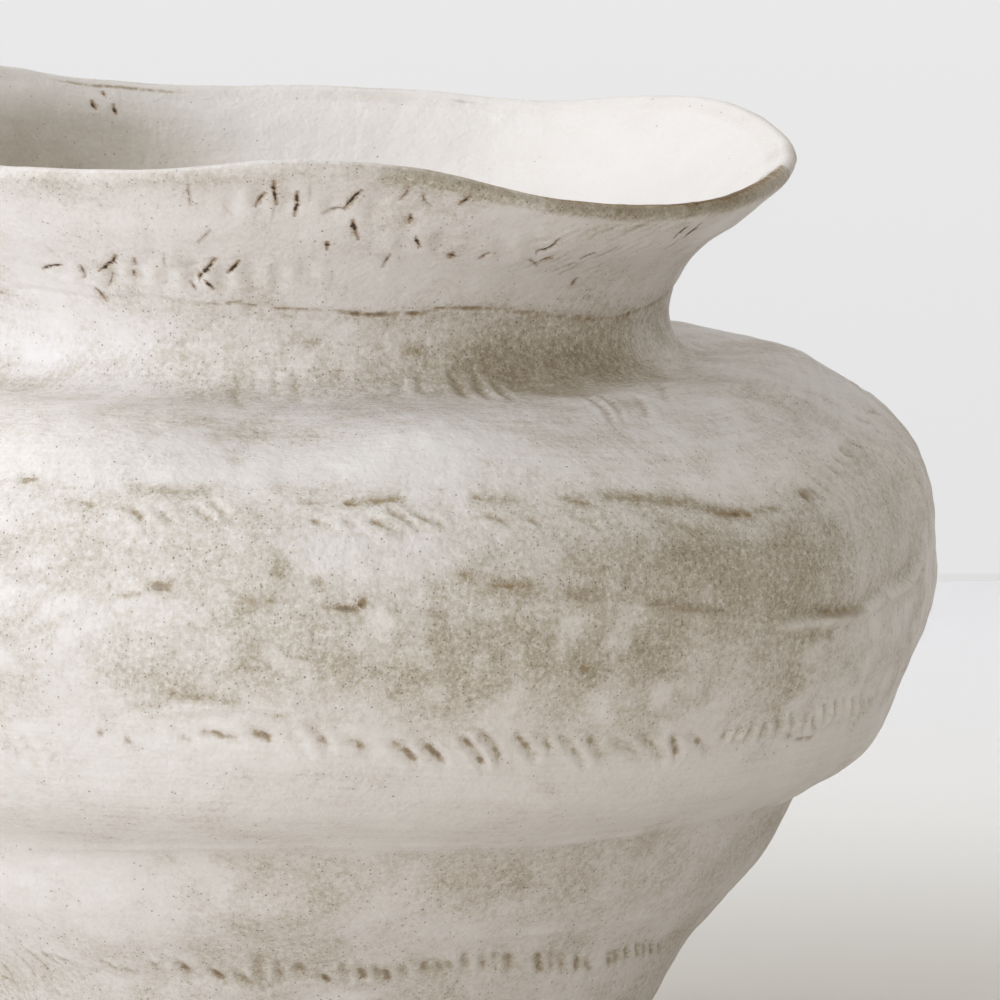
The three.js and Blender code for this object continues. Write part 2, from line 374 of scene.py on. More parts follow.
class Clay:
    """The skin's points, where they lie on the pot, what the hands and the glaze have left on each, and the
    highlights and shade painted on some.
    """

    def __init__(self, piece):
        mesh = piece.data
        self.mesh = mesh
        self.place = places(mesh) / MM
        self.level = get_values(mesh, "level")
        self.inside = get_values(mesh, "inside")
        self.normal = np.empty(len(mesh.vertices) * 3, np.float32)
        mesh.vertex_normals.foreach_get("vector", self.normal)
        self.normal = self.normal.reshape(-1, 3)
        self.turn = np.arctan2(self.place[:, 1], self.place[:, 0])
        self.radius = np.hypot(self.place[:, 0], self.place[:, 1])
        self.measure_wall()
        self.wrap = rolled_up(self.turn, self.along + INSIDE_AWAY * self.inside)
        self.photo = to_photo(self.place)
        self.shown = self.normal @ np.array(CAMERA_BACK) > IN_SIGHT
        self.in_turn = np.argsort(self.turn)
        self.turns = self.turn[self.in_turn]
        count = len(self.turn)
        self.relief, self.stain, self.wash, self.pale, self.wipe, self.pits = np.zeros((6, count), np.float32)
        self.crack = np.tile(np.array([[0, 99, 0]], np.float32), (2, count, 1))
        self.broken = (0.7 + 0.8 * bumps(self.place, 2.6, 6)).clip(0.3, 1.3)

    def measure_wall(self):
        """Works out how far each joint lies up the outside of the wall, in millimetres."""
        outer = self.inside < 0.01
        rows, row = np.unique(np.round(self.level[outer], 3), return_inverse=True)
        count = np.bincount(row)
        radius = np.bincount(row, self.radius[outer]) / count
        height = np.bincount(row, self.place[outer, 2]) / count
        length = np.concatenate([[0], np.cumsum(np.hypot(np.diff(radius), np.diff(height)))])
        length -= np.interp(0, rows, length)
        self.joints = np.interp(range(len(PIECES)), rows, length)
        self.along = np.interp(self.level, rows, length)

    def over(self, joint):
        """How far each point lies above a joint, along the wall."""
        return self.along - self.joints[joint]

    def round_about(self, size, seed):
        """Random values that change only round the pot, from about -1 to 1."""
        turns = np.linspace(-math.pi, math.pi, 4096)
        return np.interp(self.turn, turns, bumps(rolled_up(turns, np.full(len(turns), 31.7)), size, seed))

    def between(self, first, last):
        """The points between two turns of the pot."""
        cuts = [np.searchsorted(self.turns, (first + lap, last + lap)) for lap in (-math.tau, 0, math.tau)]
        return np.concatenate([self.in_turn[low:high] for low, high in cuts])

    def find(self, pixel, inner=False):
        """The turn and the place along the wall that show at a pixel of the photograph."""
        if not hasattr(self, "in_view"):
            middle = PHOTO_WIDTH / 2
            near_middle = np.abs(self.photo - middle).max(1) < middle + BEYOND_PHOTO
            self.in_view = np.flatnonzero(self.shown & near_middle)
            self.in_view = self.in_view[np.argsort(self.photo[self.in_view, 0])]
            self.view_across = self.photo[self.in_view, 0]
        low, high = np.searchsorted(self.view_across, (pixel[0] - PIXEL_REACH, pixel[0] + PIXEL_REACH))
        close = self.in_view[low:high]
        side = self.inside[close] > 0.5 if inner else self.inside[close] < 0.5
        miss = np.hypot(*(self.photo[close] - np.array(pixel, float)).T)
        near = close[side & (miss < PIXEL_REACH)]
        depth = self.place[near] @ np.array(CAMERA_BACK)
        near = near[depth > depth.max() - WALL_REACH]
        middle = self.turn[near[0]]
        known = np.column_stack([self.photo[near] - np.array(pixel, float), np.ones(len(near))])
        values = np.column_stack([wrapped(self.turn[near] - middle), self.along[near]])
        turn, along = np.linalg.lstsq(known, values, rcond=None)[0][2]
        return turn + middle, along

    def line(self, start, end, width, bend=0.0, inner=False):
        """The points near a line on the wall, and how far each lies along it and across it."""
        middle = wrapped(start[0] + wrapped(end[0] - start[0]) / 2)
        height = (start[1] + end[1]) / 2
        facing = self.between(middle - 0.02, middle + 0.02)
        facing = facing[((self.inside[facing] > 0.5) == inner) & (np.abs(self.along[facing] - height) < BAND)]
        radius = self.radius[facing].mean()
        run = wrapped(end[0] - start[0]) * radius
        rise = end[1] - start[1]
        length = max(math.hypot(run, rise), 0.5)
        reach = length / 2 + 4 * width
        near = self.between(middle - reach / radius, middle + reach / radius)
        near = near[((self.inside[near] > 0.5) == inner) & (np.abs(self.along[near] - height) < reach)]
        out = wrapped(self.turn[near] - middle) * radius
        up = self.along[near] - height
        p = (out * run + up * rise) / length
        q = (up * run - out * rise) / length
        q -= bend * (1 - np.square(2 * p / length).clip(0, 1))
        return near, p, q, length

    def stroke(self, start, end, width, depth=0.0, stain=0.0, wash=0.0, pale=0.0, bend=0.0, inner=False):
        """Presses a groove into the clay from one place to another, with the clay it moved heaped beside it,
        which gets a painted highlight.
        Its stain lies in the deepest part, tapers to the ends, is broken into dabs, and has a faint halo."""
        near, p, q, length = self.line(start, end, width, bend, inner)
        past = np.maximum(np.abs(p) - np.maximum(length / 2 - width, 0), 0)
        core = hill(q, width) * hill(past, width)
        beside = hill(np.abs(q) - 1.8 * width, width) * hill(past, 1.5 * width)
        taper = 1 - 0.65 * np.square(2 * p / length).clip(0, 1)
        self.relief[near] += depth * (0.5 * beside - core)
        dab = hill(q, 0.7 * width) * hill(past, 0.8 * width) * self.broken[near]
        self.stain[near] += 1.15 * stain * taper * dab
        self.wash[near] += wash * core + 0.22 * stain * hill(q, 2 * width) * hill(past, 2 * width)
        # The clay heaped beside the groove gets a painted highlight.
        self.pale[near] += pale * core + (0.5 * min(max(depth, 0), 0.6)) * beside

    def split(self, start, end, strength, number, bend=0.0, inner=False):
        """Leaves a thin crack between two places. Neighbouring cracks have numbers that differ by one."""
        near, p, q, length = self.line(start, end, 0.5, bend, inner)
        close = (np.abs(q) < 2) & (np.abs(p) < length / 2 + 1.5)
        values = np.column_stack([2 * p / length, q, np.full(len(p), strength)])
        self.crack[number % 2][near[close]] = values[close]
        past = np.maximum(np.abs(p) - length / 2, 0)
        self.relief[near] -= 0.3 * strength * hill(q, 0.8) * hill(past, 0.6)
        self.stain[near] += 0.45 * strength * hill(q, 0.8) * hill(past, 0.7)
        self.wash[near] += 0.2 * strength * hill(q, 2.2) * hill(past, 1.5)


# Marks that show in the photograph.
# Each mark runs between two places, given as pixels across and down, and across and down.

# Grooves that fingers pressed at the joint under the widest coil, then their half width in millimetres, how
# hard they were pressed, how brown they are, and how far they bend.
BELLY_FINGERS = [
    (4, 738, 22, 762, 1.8, 0.35, 0.05, 0.0), (22, 736, 42, 762, 1.6, 0.4, 0.02, 0.0),
    (38, 735, 60, 764, 1.6, 0.3, 0.02, 0.0), (120, 736, 142, 754, 1.6, 0.25, 0.35, 0.0),
    (172, 728, 196, 750, 1.8, 0.25, 0.3, 0.0), (200, 733, 240, 741, 1.3, 0.35, 0.8, 0.5),
    (250, 731, 275, 743, 1.4, 0.4, 0.9, 0.4), (288, 728, 306, 748, 1.5, 0.25, 0.15, 0.0),
    (308, 727, 330, 752, 1.5, 0.4, 0.5, 0.5), (345, 739, 374, 755, 1.6, 0.3, 0.45, 0.4),
    (390, 742, 418, 764, 1.5, 0.5, 0.95, 0.5), (424, 745, 446, 766, 1.4, 0.5, 0.8, 0.3),
    (463, 738, 485, 768, 1.2, 0.6, 0.95, 0.3), (481, 733, 501, 765, 1.3, 0.6, 0.75, 0.9),
    (515, 735, 536, 762, 1.3, 0.55, 0.7, 0.4), (545, 738, 553, 754, 1.1, 0.35, 0.4, 0.0),
    (562, 737, 585, 768, 1.2, 0.45, 0.4, 0.4), (589, 737, 603, 760, 1.5, 0.5, 0.9, 0.3),
    (608, 738, 642, 759, 1.3, 0.35, 0.2, 0.4), (642, 735, 665, 763, 1.3, 0.5, 0.35, 0.3),
    (672, 733, 678, 758, 1.3, 0.5, 0.95, 0.0), (686, 734, 710, 752, 1.5, 0.4, 0.6, 0.4),
    (722, 742, 729, 730, 1.2, 0.4, 0.45, 0.0), (735, 741, 741, 726, 1.1, 0.35, 0.35, 0.0),
    (748, 740, 753, 724, 1.1, 0.51, 0.2, 0.0), (762, 739, 765, 722, 1.1, 0.51, 0.15, 0.0),
    (776, 717, 779, 735, 1.2, 0.54, 0.5, 0.5), (784, 733, 816, 736, 1.3, 0.4, 0.6, -1.6),
    (804, 732, 806, 716, 1.2, 0.41, 0.35, 0.0), (813, 715, 817, 733, 1.2, 0.48, 0.4, -0.6),
    (790, 712, 793, 730, 1.2, 0.41, 0.15, 0.6), (824, 704, 822, 724, 1.0, 0.68, 0.3, 0.7),
    (834, 700, 831, 722, 1.0, 0.77, 0.3, 0.7), (842, 698, 840, 721, 1.0, 0.77, 0.3, 0.7),
    (851, 697, 849, 723, 1.0, 0.77, 0.35, 0.8), (859, 697, 858, 720, 1.0, 0.68, 0.25, 0.6),
    (867, 696, 866, 716, 1.0, 0.59, 0.2, 0.5),
]

# Short upright presses at the joint above the foot.
FOOT_FINGERS = [
    (2, 964, 12, 977, 0.7, 0.25, 0.5, 0.2), (14, 951, 33, 972, 0.7, 0.3, 0.45, 0.3),
    (27, 949, 52, 973, 0.7, 0.3, 0.4, 0.3), (42, 951, 63, 968, 0.7, 0.3, 0.4, 0.2),
    (50, 955, 74, 963, 0.7, 0.25, 0.4, 0.2), (0, 977, 16, 984, 0.8, 0.3, 0.6, 0.0),
    (100, 959, 120, 970, 1.0, 0.3, 0.6, 0.2), (122, 965, 138, 975, 1.0, 0.25, 0.35, 0.0),
    (150, 962, 166, 974, 1.3, 0.2, 0.35, 0.0), (176, 962, 192, 976, 1.4, 0.45, 0.9, 0.3),
    (209, 969, 227, 983, 1.4, 0.5, 0.95, 0.3), (237, 974, 252, 986, 1.3, 0.45, 0.8, 0.2),
    (260, 958, 261, 982, 1.5, 0.3, 0.35, 0.0), (278, 964, 282, 980, 1.3, 0.25, 0.4, 0.0),
    (298, 964, 304, 976, 1.4, 0.35, 0.6, 0.0), (320, 975, 332, 984, 1.2, 0.4, 0.8, 0.0),
    (342, 964, 350, 978, 1.3, 0.3, 0.5, 0.0), (360, 968, 366, 981, 1.4, 0.45, 0.95, 0.0),
    (374, 967, 380, 980, 1.1, 0.35, 0.75, 0.0), (384, 969, 391, 983, 1.2, 0.4, 0.9, 0.0),
    (400, 966, 407, 978, 1.3, 0.25, 0.4, 0.0), (424, 960, 428, 975, 1.6, 0.4, 0.7, 0.0),
    (436, 958, 441, 974, 1.5, 0.4, 0.7, 0.0), (448, 959, 451, 972, 1.2, 0.35, 0.5, 0.0),
    (464, 951, 466, 969, 1.6, 0.4, 0.6, 0.0), (482, 954, 484, 970, 1.3, 0.35, 0.55, 0.0),
    (494, 951, 496, 968, 1.1, 0.3, 0.45, 0.0), (504, 953, 511, 970, 1.6, 0.4, 0.85, 0.2),
    (538, 952, 541, 974, 1.5, 0.45, 0.8, 0.0), (550, 950, 552, 972, 1.2, 0.4, 0.65, 0.0),
    (559, 952, 563, 972, 1.2, 0.35, 0.55, 0.0), (576, 954, 577, 971, 1.2, 0.45, 0.8, 0.0),
    (584, 956, 590, 973, 1.3, 0.4, 0.65, 0.0), (608, 951, 610, 966, 1.2, 0.45, 0.75, 0.0),
    (615, 949, 617, 964, 1.1, 0.5, 0.85, 0.0), (625, 946, 626, 961, 1.0, 0.5, 0.8, 0.0),
    (636, 943, 638, 957, 0.9, 0.45, 0.65, 0.0), (643, 942, 645, 956, 0.9, 0.5, 0.75, 0.0),
    (650, 941, 652, 956, 0.9, 0.5, 0.8, 0.0), (658, 943, 660, 954, 0.8, 0.4, 0.5, 0.0),
    (670, 944, 676, 935, 0.8, 0.4, 0.6, 0.0), (682, 936, 688, 928, 0.8, 0.4, 0.6, 0.0),
]

# Slanting presses under the shoulder's joint, and the ladder of short ones at its right.
SHOULDER_FINGERS = [
    (70, 498, 96, 507, 1.2, 0.25, 0.45, 0.2), (122, 505, 146, 521, 1.3, 0.35, 0.6, 0.3),
    (158, 512, 176, 526, 1.3, 0.3, 0.3, 0.2), (196, 510, 213, 521, 1.2, 0.35, 0.5, 0.2),
    (212, 503, 228, 517, 1.1, 0.4, 0.65, 0.2), (308, 516, 334, 527, 1.1, 0.3, 0.5, -0.5),
    (343, 518, 358, 527, 1.1, 0.3, 0.55, 0.0), (368, 518, 396, 530, 1.1, 0.35, 0.6, 0.2),
    (388, 511, 417, 526, 1.0, 0.5, 0.7, 0.3), (414, 515, 446, 526, 1.0, 0.5, 0.65, 0.3),
    (484, 515, 513, 525, 1.1, 0.35, 0.45, 0.2), (519, 514, 545, 527, 1.0, 0.4, 0.5, 0.2),
    (570, 514, 600, 527, 1.3, 0.25, 0.15, 0.2), (660, 520, 700, 532, 1.6, 0.25, 0.1, 0.3),
    (800, 494, 813, 503, 0.9, 0.8, 0.6, -0.4), (808, 488, 826, 499, 0.9, 0.8, 0.5, -0.6),
    (814, 481, 829, 490, 0.9, 0.72, 0.45, -0.5), (820, 474, 835, 482, 0.9, 0.64, 0.35, -0.4),
    (826, 467, 840, 474, 0.9, 0.64, 0.35, -0.4), (832, 459, 846, 466, 0.9, 0.64, 0.35, -0.3),
    (838, 451, 852, 457, 0.9, 0.56, 0.25, -0.3), (846, 442, 862, 447, 0.9, 0.56, 0.35, -0.3),
    (857, 419, 875, 424, 0.9, 0.48, 0.35, 0.0), (864, 411, 878, 415, 0.9, 0.4, 0.3, 0.0),
]

# Presses at the root of the neck.
CREASE_FINGERS = [
    (238, 376, 244, 404, 1.3, 0.15, 0.15, -1.2), (275, 368, 274, 395, 1.2, 0.12, 0.15, 0.0),
    (296, 374, 297, 400, 1.2, 0.12, 0.2, 0.0), (399, 376, 400, 394, 1.4, 0.18, 0.2, 0.0),
    (421, 376, 422, 394, 1.4, 0.18, 0.2, 0.0), (452, 372, 466, 397, 1.4, 0.27, 0.25, 0.3),
    (476, 382, 492, 400, 1.3, 0.31, 0.25, 0.3), (494, 382, 512, 402, 1.2, 0.31, 0.2, 0.3),
    (588, 398, 612, 423, 1.2, 0.31, 0.25, 0.4), (600, 396, 622, 420, 1.0, 0.23, 0.1, 0.4),
    (634, 396, 646, 416, 1.2, 0.31, 0.25, 0.3), (652, 384, 664, 402, 1.2, 0.23, 0.2, 0.3),
]

# Shallow dimples of fingertips in the collar, with no stain, and folds at the root of the neck. After its
# ends, each has its half width and its depth in millimetres.
COLLAR_DIMPLES = [
    (112, 262, 116, 284, 2.2, 0.6), (138, 262, 142, 282, 2.4, 0.7), (164, 268, 168, 288, 2.2, 0.6),
    (190, 262, 196, 282, 2.4, 0.8), (222, 266, 226, 290, 2.3, 0.7), (250, 264, 254, 286, 2.4, 0.7),
    (276, 266, 280, 288, 2.3, 0.6), (304, 260, 308, 280, 2.4, 0.5), (86, 268, 90, 284, 2.0, 0.5),
    (60, 262, 64, 280, 2.0, 0.4), (230, 196, 234, 214, 2.2, 0.5), (260, 186, 262, 206, 2.2, 0.6),
    (286, 190, 288, 212, 2.2, 0.6), (330, 196, 334, 216, 2.2, 0.5), (372, 200, 376, 222, 2.2, 0.5),
    (404, 232, 408, 250, 2.2, 0.5), (440, 232, 444, 252, 2.2, 0.5), (500, 240, 504, 262, 2.2, 0.5),
    (528, 236, 536, 256, 2.0, 0.6), (676, 340, 682, 372, 2.6, 0.5), (684, 372, 700, 400, 2.6, 0.35),
]

# Thin cracks in the collar, then their strength and how far they bend.
CRACKS = [
    (44, 269, 59, 266, 0.8, 0.6), (81, 267, 84, 277, 0.5, 0.0), (101, 269, 115, 257, 1.0, -0.5),
    (134, 259, 135, 264, 0.6, 0.0), (133, 271, 134, 274, 0.6, 0.0), (110, 284, 112, 276, 0.35, 0.0),
    (97, 290, 104, 299, 0.7, 0.3), (164, 256, 165, 264, 0.25, 0.0), (199, 278, 214, 259, 1.0, 0.0),
    (207, 281, 213, 287, 0.75, 0.0), (192, 283, 195, 287, 0.5, 0.0), (229, 272, 238, 262, 0.85, 0.0),
    (200, 240, 208, 232, 0.4, 0.0), (274, 183, 276, 200, 0.95, -0.2), (275, 202, 272, 217, 0.2, 0.0),
    (257, 203, 263, 196, 0.7, 0.0), (297, 194, 295, 212, 0.8, 0.3), (310, 187, 310, 197, 0.2, 0.0),
    (188, 187, 190, 203, 0.35, 0.0), (226, 209, 230, 213, 0.15, 0.0), (346, 206, 359, 192, 0.9, 0.0),
    (326, 212, 345, 208, 0.4, 0.2), (353, 222, 357, 236, 1.0, -0.2), (416, 239, 419, 246, 0.9, 0.0),
    (384, 265, 389, 257, 0.5, 0.0), (402, 197, 407, 189, 0.5, -0.4), (424, 194, 430, 205, 0.4, -0.7),
    (461, 203, 469, 196, 0.75, 0.0), (450, 256, 453, 257, 0.6, 0.0), (482, 257, 487, 254, 0.7, 0.0),
    (539, 252, 557, 240, 0.8, -0.7), (544, 260, 549, 259, 0.6, 0.0), (530, 260, 536, 265, 0.5, 0.0),
    (584, 257, 592, 254, 0.75, 0.0), (600, 256, 618, 247, 0.3, 0.0), (620, 254, 640, 244, 0.2, 0.0),
    (677, 236, 686, 229, 0.9, 0.0), (685, 237, 700, 226, 0.8, 0.0), (664, 250, 676, 241, 0.3, 0.0),
    (700, 230, 716, 222, 0.2, 0.0),
]

# Pits in the clay of the collar and inside the lip: a pixel across and down, and half the pit's size in
# millimetres.
COLLAR_PITS = [(410, 219, 0.35), (327, 245, 0.35), (574, 282, 0.3), (452, 257, 0.3)]
LIP_PITS = [(94, 105, 0.75), (115, 110, 0.7), (104, 94, 0.35)]

# Stains without much of a groove, then their half width in millimetres, how brown and how speckled they are.
STAINS = [
    (17, 482, 42, 479, 1.3, 0.62, 0.2), (130, 490, 212, 491, 2.0, 0.25, 0.4),
    (295, 502, 325, 501, 1.0, 0.5, 0.2), (342, 503, 362, 502, 1.2, 1.06, 0.3),
    (362, 502, 404, 498, 1.5, 0.62, 0.5), (470, 498, 484, 500, 1.3, 0.75, 0.3),
    (484, 500, 520, 499, 1.6, 0.31, 0.4), (562, 500, 590, 503, 2.0, 0.5, 0.6),
    (600, 496, 700, 505, 2.2, 0.38, 0.7), (705, 509, 727, 514, 1.4, 0.81, 0.6),
    (722, 514, 752, 514, 1.5, 1.0, 0.6), (752, 512, 780, 508, 1.5, 0.25, 0.5),
    (799, 498, 808, 492, 1.4, 0.62, 0.6), (72, 592, 112, 593, 1.0, 0.31, 0.1),
    (114, 596, 142, 593, 1.1, 0.94, 0.2), (142, 586, 175, 587, 1.3, 1.0, 0.3),
    (187, 588, 208, 589, 1.0, 0.38, 0.1), (236, 598, 262, 606, 1.4, 0.56, 0.3),
    (262, 606, 276, 599, 1.2, 0.5, 0.3), (322, 608, 360, 610, 1.1, 1.19, 0.3),
    (358, 608, 368, 598, 1.1, 1.12, 0.3), (388, 612, 402, 614, 1.0, 0.44, 0.3),
    (428, 614, 450, 620, 1.3, 0.75, 0.3), (488, 586, 532, 586, 1.6, 0.62, 0.4),
    (458, 575, 470, 572, 2.0, 0.38, 0.6), (560, 594, 604, 598, 2.2, 0.31, 0.4),
    (648, 607, 720, 614, 1.6, 0.44, 0.5), (820, 614, 862, 610, 1.5, 1.06, 0.6),
    (808, 636, 834, 633, 2.0, 0.5, 0.4), (312, 583, 326, 581, 1.8, 0.5, 0.3),
    (270, 566, 290, 570, 2.6, 0.25, 0.7), (232, 620, 250, 608, 1.2, 0.25, 0.3),
    (124, 628, 127, 642, 1.0, 0.38, 0.1), (576, 665, 596, 674, 1.8, 0.56, 0.3),
    (125, 708, 160, 706, 1.0, 0.56, 0.1), (165, 693, 238, 703, 1.6, 0.5, 0.3),
    (95, 733, 106, 736, 1.6, 0.5, 0.1), (50, 592, 72, 588, 1.0, 0.25, 0.1),
    (262, 714, 290, 716, 1.2, 0.25, 0.2), (545, 650, 556, 640, 1.8, 0.38, 0.2),
    (302, 343, 322, 342, 1.3, 0.44, 0.2), (400, 349, 425, 352, 2.0, 0.31, 0.4),
    (376, 345, 384, 350, 1.0, 0.38, 0.2), (445, 352, 520, 372, 4.5, 0.06, 0.25),
    (505, 378, 640, 408, 4.5, 0.1, 0.35), (455, 385, 480, 392, 3.5, 0.12, 0.3),
]

# Raised lines, as the places that each runs through, then its half width, its height, and how strongly its
# crest is painted pale as a highlight.
RIDGES = [
    ([(0, 847), (102, 848), (275, 846), (380, 847), (482, 843), (579, 841), (635, 832), (700, 816),
      (780, 793)], 0.9, 0.25, 0.35),
    ([(502, 937), (560, 930), (640, 919), (680, 911), (720, 896)], 1.0, 0.35, 0.2),
    ([(560, 982), (612, 978), (640, 970), (664, 962)], 1.0, 0.3, 0.15),
    ([(125, 716), (200, 709), (245, 707), (306, 712)], 1.1, 0.3, 0.3),
    ([(426, 727), (470, 729)], 1.1, 0.25, 0.25),
    ([(770, 627), (820, 622), (860, 614), (882, 598), (904, 586), (917, 565), (924, 552)], 1.4, 1.9, 1.0),
    ([(856, 444), (884, 456), (904, 473), (918, 500), (924, 524)], 2.0, 1.7, 0.6),
    ([(700, 392), (745, 388), (790, 396), (824, 410)], 3.2, 1.1, 0.1),
    ([(690, 408), (740, 404), (785, 412), (812, 424)], 2.6, 1.1, 0.15),
    ([(0, 588), (70, 592), (115, 594), (150, 587), (205, 590), (262, 606), (330, 611), (400, 614), (455, 621),
      (500, 612), (560, 604), (600, 604), (650, 610), (720, 617), (770, 627)], 0.9, 0.3, 0.4),
    ([(0, 477), (130, 486), (212, 487), (300, 496), (400, 494), (520, 493), (600, 491), (700, 499),
      (760, 508)], 0.9, 0.3, 0.15),
    ([(385, 503), (408, 515), (425, 522)], 1.0, 0.3, 0.3), ([(430, 510), (455, 521)], 1.0, 0.25, 0.25),
    ([(505, 508), (545, 524)], 1.0, 0.25, 0.25), ([(600, 508), (660, 527)], 1.3, 0.25, 0.25),
    ([(680, 512), (760, 533)], 1.5, 0.25, 0.25), ([(365, 510), (392, 520)], 1.0, 0.3, 0.3),
]

# The line at the bottom of the flared collar: its places, then how brown it is there.
NECK_LINE = [
    (30, 290, 0.0), (100, 300, 0.15), (150, 297, 0.1), (192, 305, 0.25), (235, 303, 0.5), (277, 309, 0.3),
    (334, 312, 0.45), (376, 315, 1.0), (418, 313, 0.9), (448, 308, 0.6), (493, 309, 0.4), (525, 313, 0.5),
    (557, 317, 0.4), (610, 319, 0.6), (631, 314, 0.5), (648, 307, 0.3),
]

# The end face of the lip, where the glaze has drawn back: a pixel across, how thin the glaze is there, and
# how brown the line along its upper edge is.
LIP_LINE = [
    (-10, 0.4, 0.0), (60, 0.4, 0.0), (200, 0.3, 0.0), (330, 0.25, 0.0), (390, 0.5, 0.1), (440, 0.8, 0.3),
    (520, 0.95, 0.5), (560, 1.0, 0.8), (600, 1.05, 0.7), (655, 1.05, 0.9), (690, 1.1, 2.0), (735, 1.1, 2.2),
    (760, 0.9, 1.2), (780, 0.7, 0.6), (792, 0.5, 0.2),
]
LIP_ROUND = 6.9  # millimetres over the lip's rounded end, from its outer face to its inner face

# What hands and tools did.

# How each joint shows outside: how far the clay above it laps over it, and how far that reaches up and down.
LAPS = {
    FOOT: (0.25, 6, 5), WALL: (0.3, 8, 4), FLANK: (1.0, 12, 3.5), BELLY: (0.45, 8, 5), WAIST: (0.3, 5, 4),
    SHOULDER: (0.35, 6, 5),
}

# Lobes that stand up from the shoulder: the turn and the level of each, how many degrees it reaches to either
# side, how far it reaches in levels, and its height.
SHOULDER_LOBES = [(48, 6.68, 24, 0.28, 1.9), (12, 6.3, 7, 0.2, 0.8), (-4, 6.0, 6, 0.2, 0.7)]

# Broad forms of the shoulder's front: a pixel across and down, how far each reaches across and up in
# millimetres, and its height.
SHOULDER_FORMS = [
    (275, 428, 32, 17, -3.6), (430, 440, 32, 14, 2.0), (90, 436, 30, 14, 1.0), (810, 442, 18, 9, 1.4),
]

TRUE_EDGE = (3, 14)  # millimetres above the table over which the clay goes from true to uneven

# How lumpy the clay was left at each level up the wall.
LUMPS = [
    (-1, 0.4), (0, 0.6), (2, 0.9), (3, 0.8), (3.2, 0.45), (3.8, 0.5), (4, 1), (5, 1.2), (6, 0.9), (6.3, 1.2),
    (7, 0.7), (8, 0.5), (9, 0.7), (10, 0.8), (11, 0.5),
]

# How much the outside was wiped smooth at each level.
WIPES = [
    (-1, 0), (2.9, 0.1), (3.1, 0.9), (3.8, 1), (4, 0.2), (6, 0.1), (6.2, 0.9), (7, 0.8), (7.6, 0.3),
    (9, 0.3), (11, 0.3),
]

# Rows of finger marks that the photograph doesn't show: the joint, how far above it, how far apart, how far
# they lean from upright in degrees, then their length, half width, depth and stain.
FINGER_ROWS = [
    (BELLY, -1.0, 7.8, -42, 8.0, 1.4, 0.45, 0.55), (WALL, 0.5, 5.0, -6, 4.5, 1.2, 0.38, 0.6),
    (SHOULDER, -4.0, 12.0, -62, 8.0, 1.1, 0.35, 0.45), (CREASE, 4.0, 9.0, -18, 6.0, 1.3, 0.3, 0.2),
]
FINGER_FORCE = 1.5  # millimetres deep, where the tables of finger marks say that one was pressed as hard as 1
LEFT_OF_PHOTO = -10  # pixels across: what lies left of here doesn't show

# The wrinkles of the stretched collar: how many, the pixel where they start, and the pixels across where they
# and the collar end.
WRINKLES = 34
WRINKLES_FROM = (515, 262)
WRINKLES_TO = 680
COLLAR_EDGE = 705

# Rows of cracks there: the joint, how far above it, how far apart, their lean and their length.
CRACK_ROWS = [(COLLAR, 0.5, 13.0, 35, 4.0), (FLARE, 0.0, 14.0, 10, 4.0), (COLLAR, -4.0, 21.0, -25, 2.0)]


def by_level(clay, table):
    levels, values = zip(*table)
    return np.interp(clay.level, levels, values)


def off_the_table(clay):
    """0 at the edge of the flat foot, which is left true, and 1 above it."""
    return step(clay.place[:, 2], *TRUE_EDGE)


def shape_by_palm(clay):
    """Broad dents of palms, smaller dents of thumbs, and the unevenness of soft clay."""
    uneven = off_the_table(clay)
    lumps = by_level(clay, LUMPS) * uneven
    flatter = clay.place * np.array([1, 1, 1.6])
    clay.relief += 0.45 * uneven * bumps(clay.place, 44, 1)
    clay.relief += 0.36 * lumps * bumps(flatter, 18, 2)
    clay.relief += 0.22 * lumps * bumps(flatter, 8, 3)
    clay.relief += 0.1 * lumps * bumps(clay.place, 3.6, 4)
    for turn, level, reach, up, height in SHOULDER_LOBES:
        away = wrapped(clay.turn - math.radians(turn)) / math.radians(reach)
        clay.relief += height * (clay.inside < 0.5) * hill(away, 1) * hill(clay.level - level, up)
    for across, down, width, up, height in SHOULDER_FORMS:
        turn, along = clay.find((across, down))
        away = wrapped(clay.turn - turn) * clay.radius
        clay.relief += height * (clay.inside < 0.5) * hill(away, width) * hill(clay.along - along, up)


def wipe_smooth(clay):
    """Long level streaks, left by a wet hand drawn round the pot."""
    clay.wipe = by_level(clay, WIPES) * (1 - 0.5 * clay.inside)
    streaks = bumps(clay.wrap / np.array([14, 14, 1]), 2.4, 5)
    clay.relief += 0.06 * clay.wipe * streaks * off_the_table(clay)


def lap_joints(clay):
    """Each coil laps a little over the one below, more in some places than in others."""
    outer = clay.inside < 0.5
    for joint, (height, above, below) in LAPS.items():
        over = clay.over(joint) + 0.8 * clay.round_about(25, 10 + joint)
        share = height * (0.75 + 0.5 * clay.round_about(60, 30 + joint)).clip(0.2, 1.3)
        lap = 1 / (1 + np.exp(-over.clip(-20, 20) / 0.7))
        fall = np.where(over > 0, hill(over, above), hill(over, below))
        clay.relief += outer * share * fall * (lap - 0.45)


def unseen(clay, joint, apart, random):
    """Turns round the pot, about so far apart, where the photograph doesn't show the joint."""
    at_joint = (np.abs(clay.level - joint) < 0.001) & (clay.inside < 0.5)
    radius = clay.radius[at_joint].mean()
    turn = random.uniform(0, apart / radius)
    turns = []
    while turn < math.tau - 0.6 * apart / radius:
        nearest = np.flatnonzero(at_joint)[np.argmin(np.abs(wrapped(clay.turn[at_joint] - turn)))]
        if not clay.shown[nearest] or clay.photo[nearest, 0] < LEFT_OF_PHOTO:
            turns.append(turn)
        turn += random.uniform(0.75, 1.25) * apart / radius
    return turns, radius


def leaning_ends(turn, middle, radius, lean, length):
    """The two ends of a mark of a given lean and length, from its middle."""
    run = math.sin(math.radians(lean)) * length / 2 / radius
    rise = math.cos(math.radians(lean)) * length / 2
    return (turn - run, middle - rise), (turn + run, middle + rise)


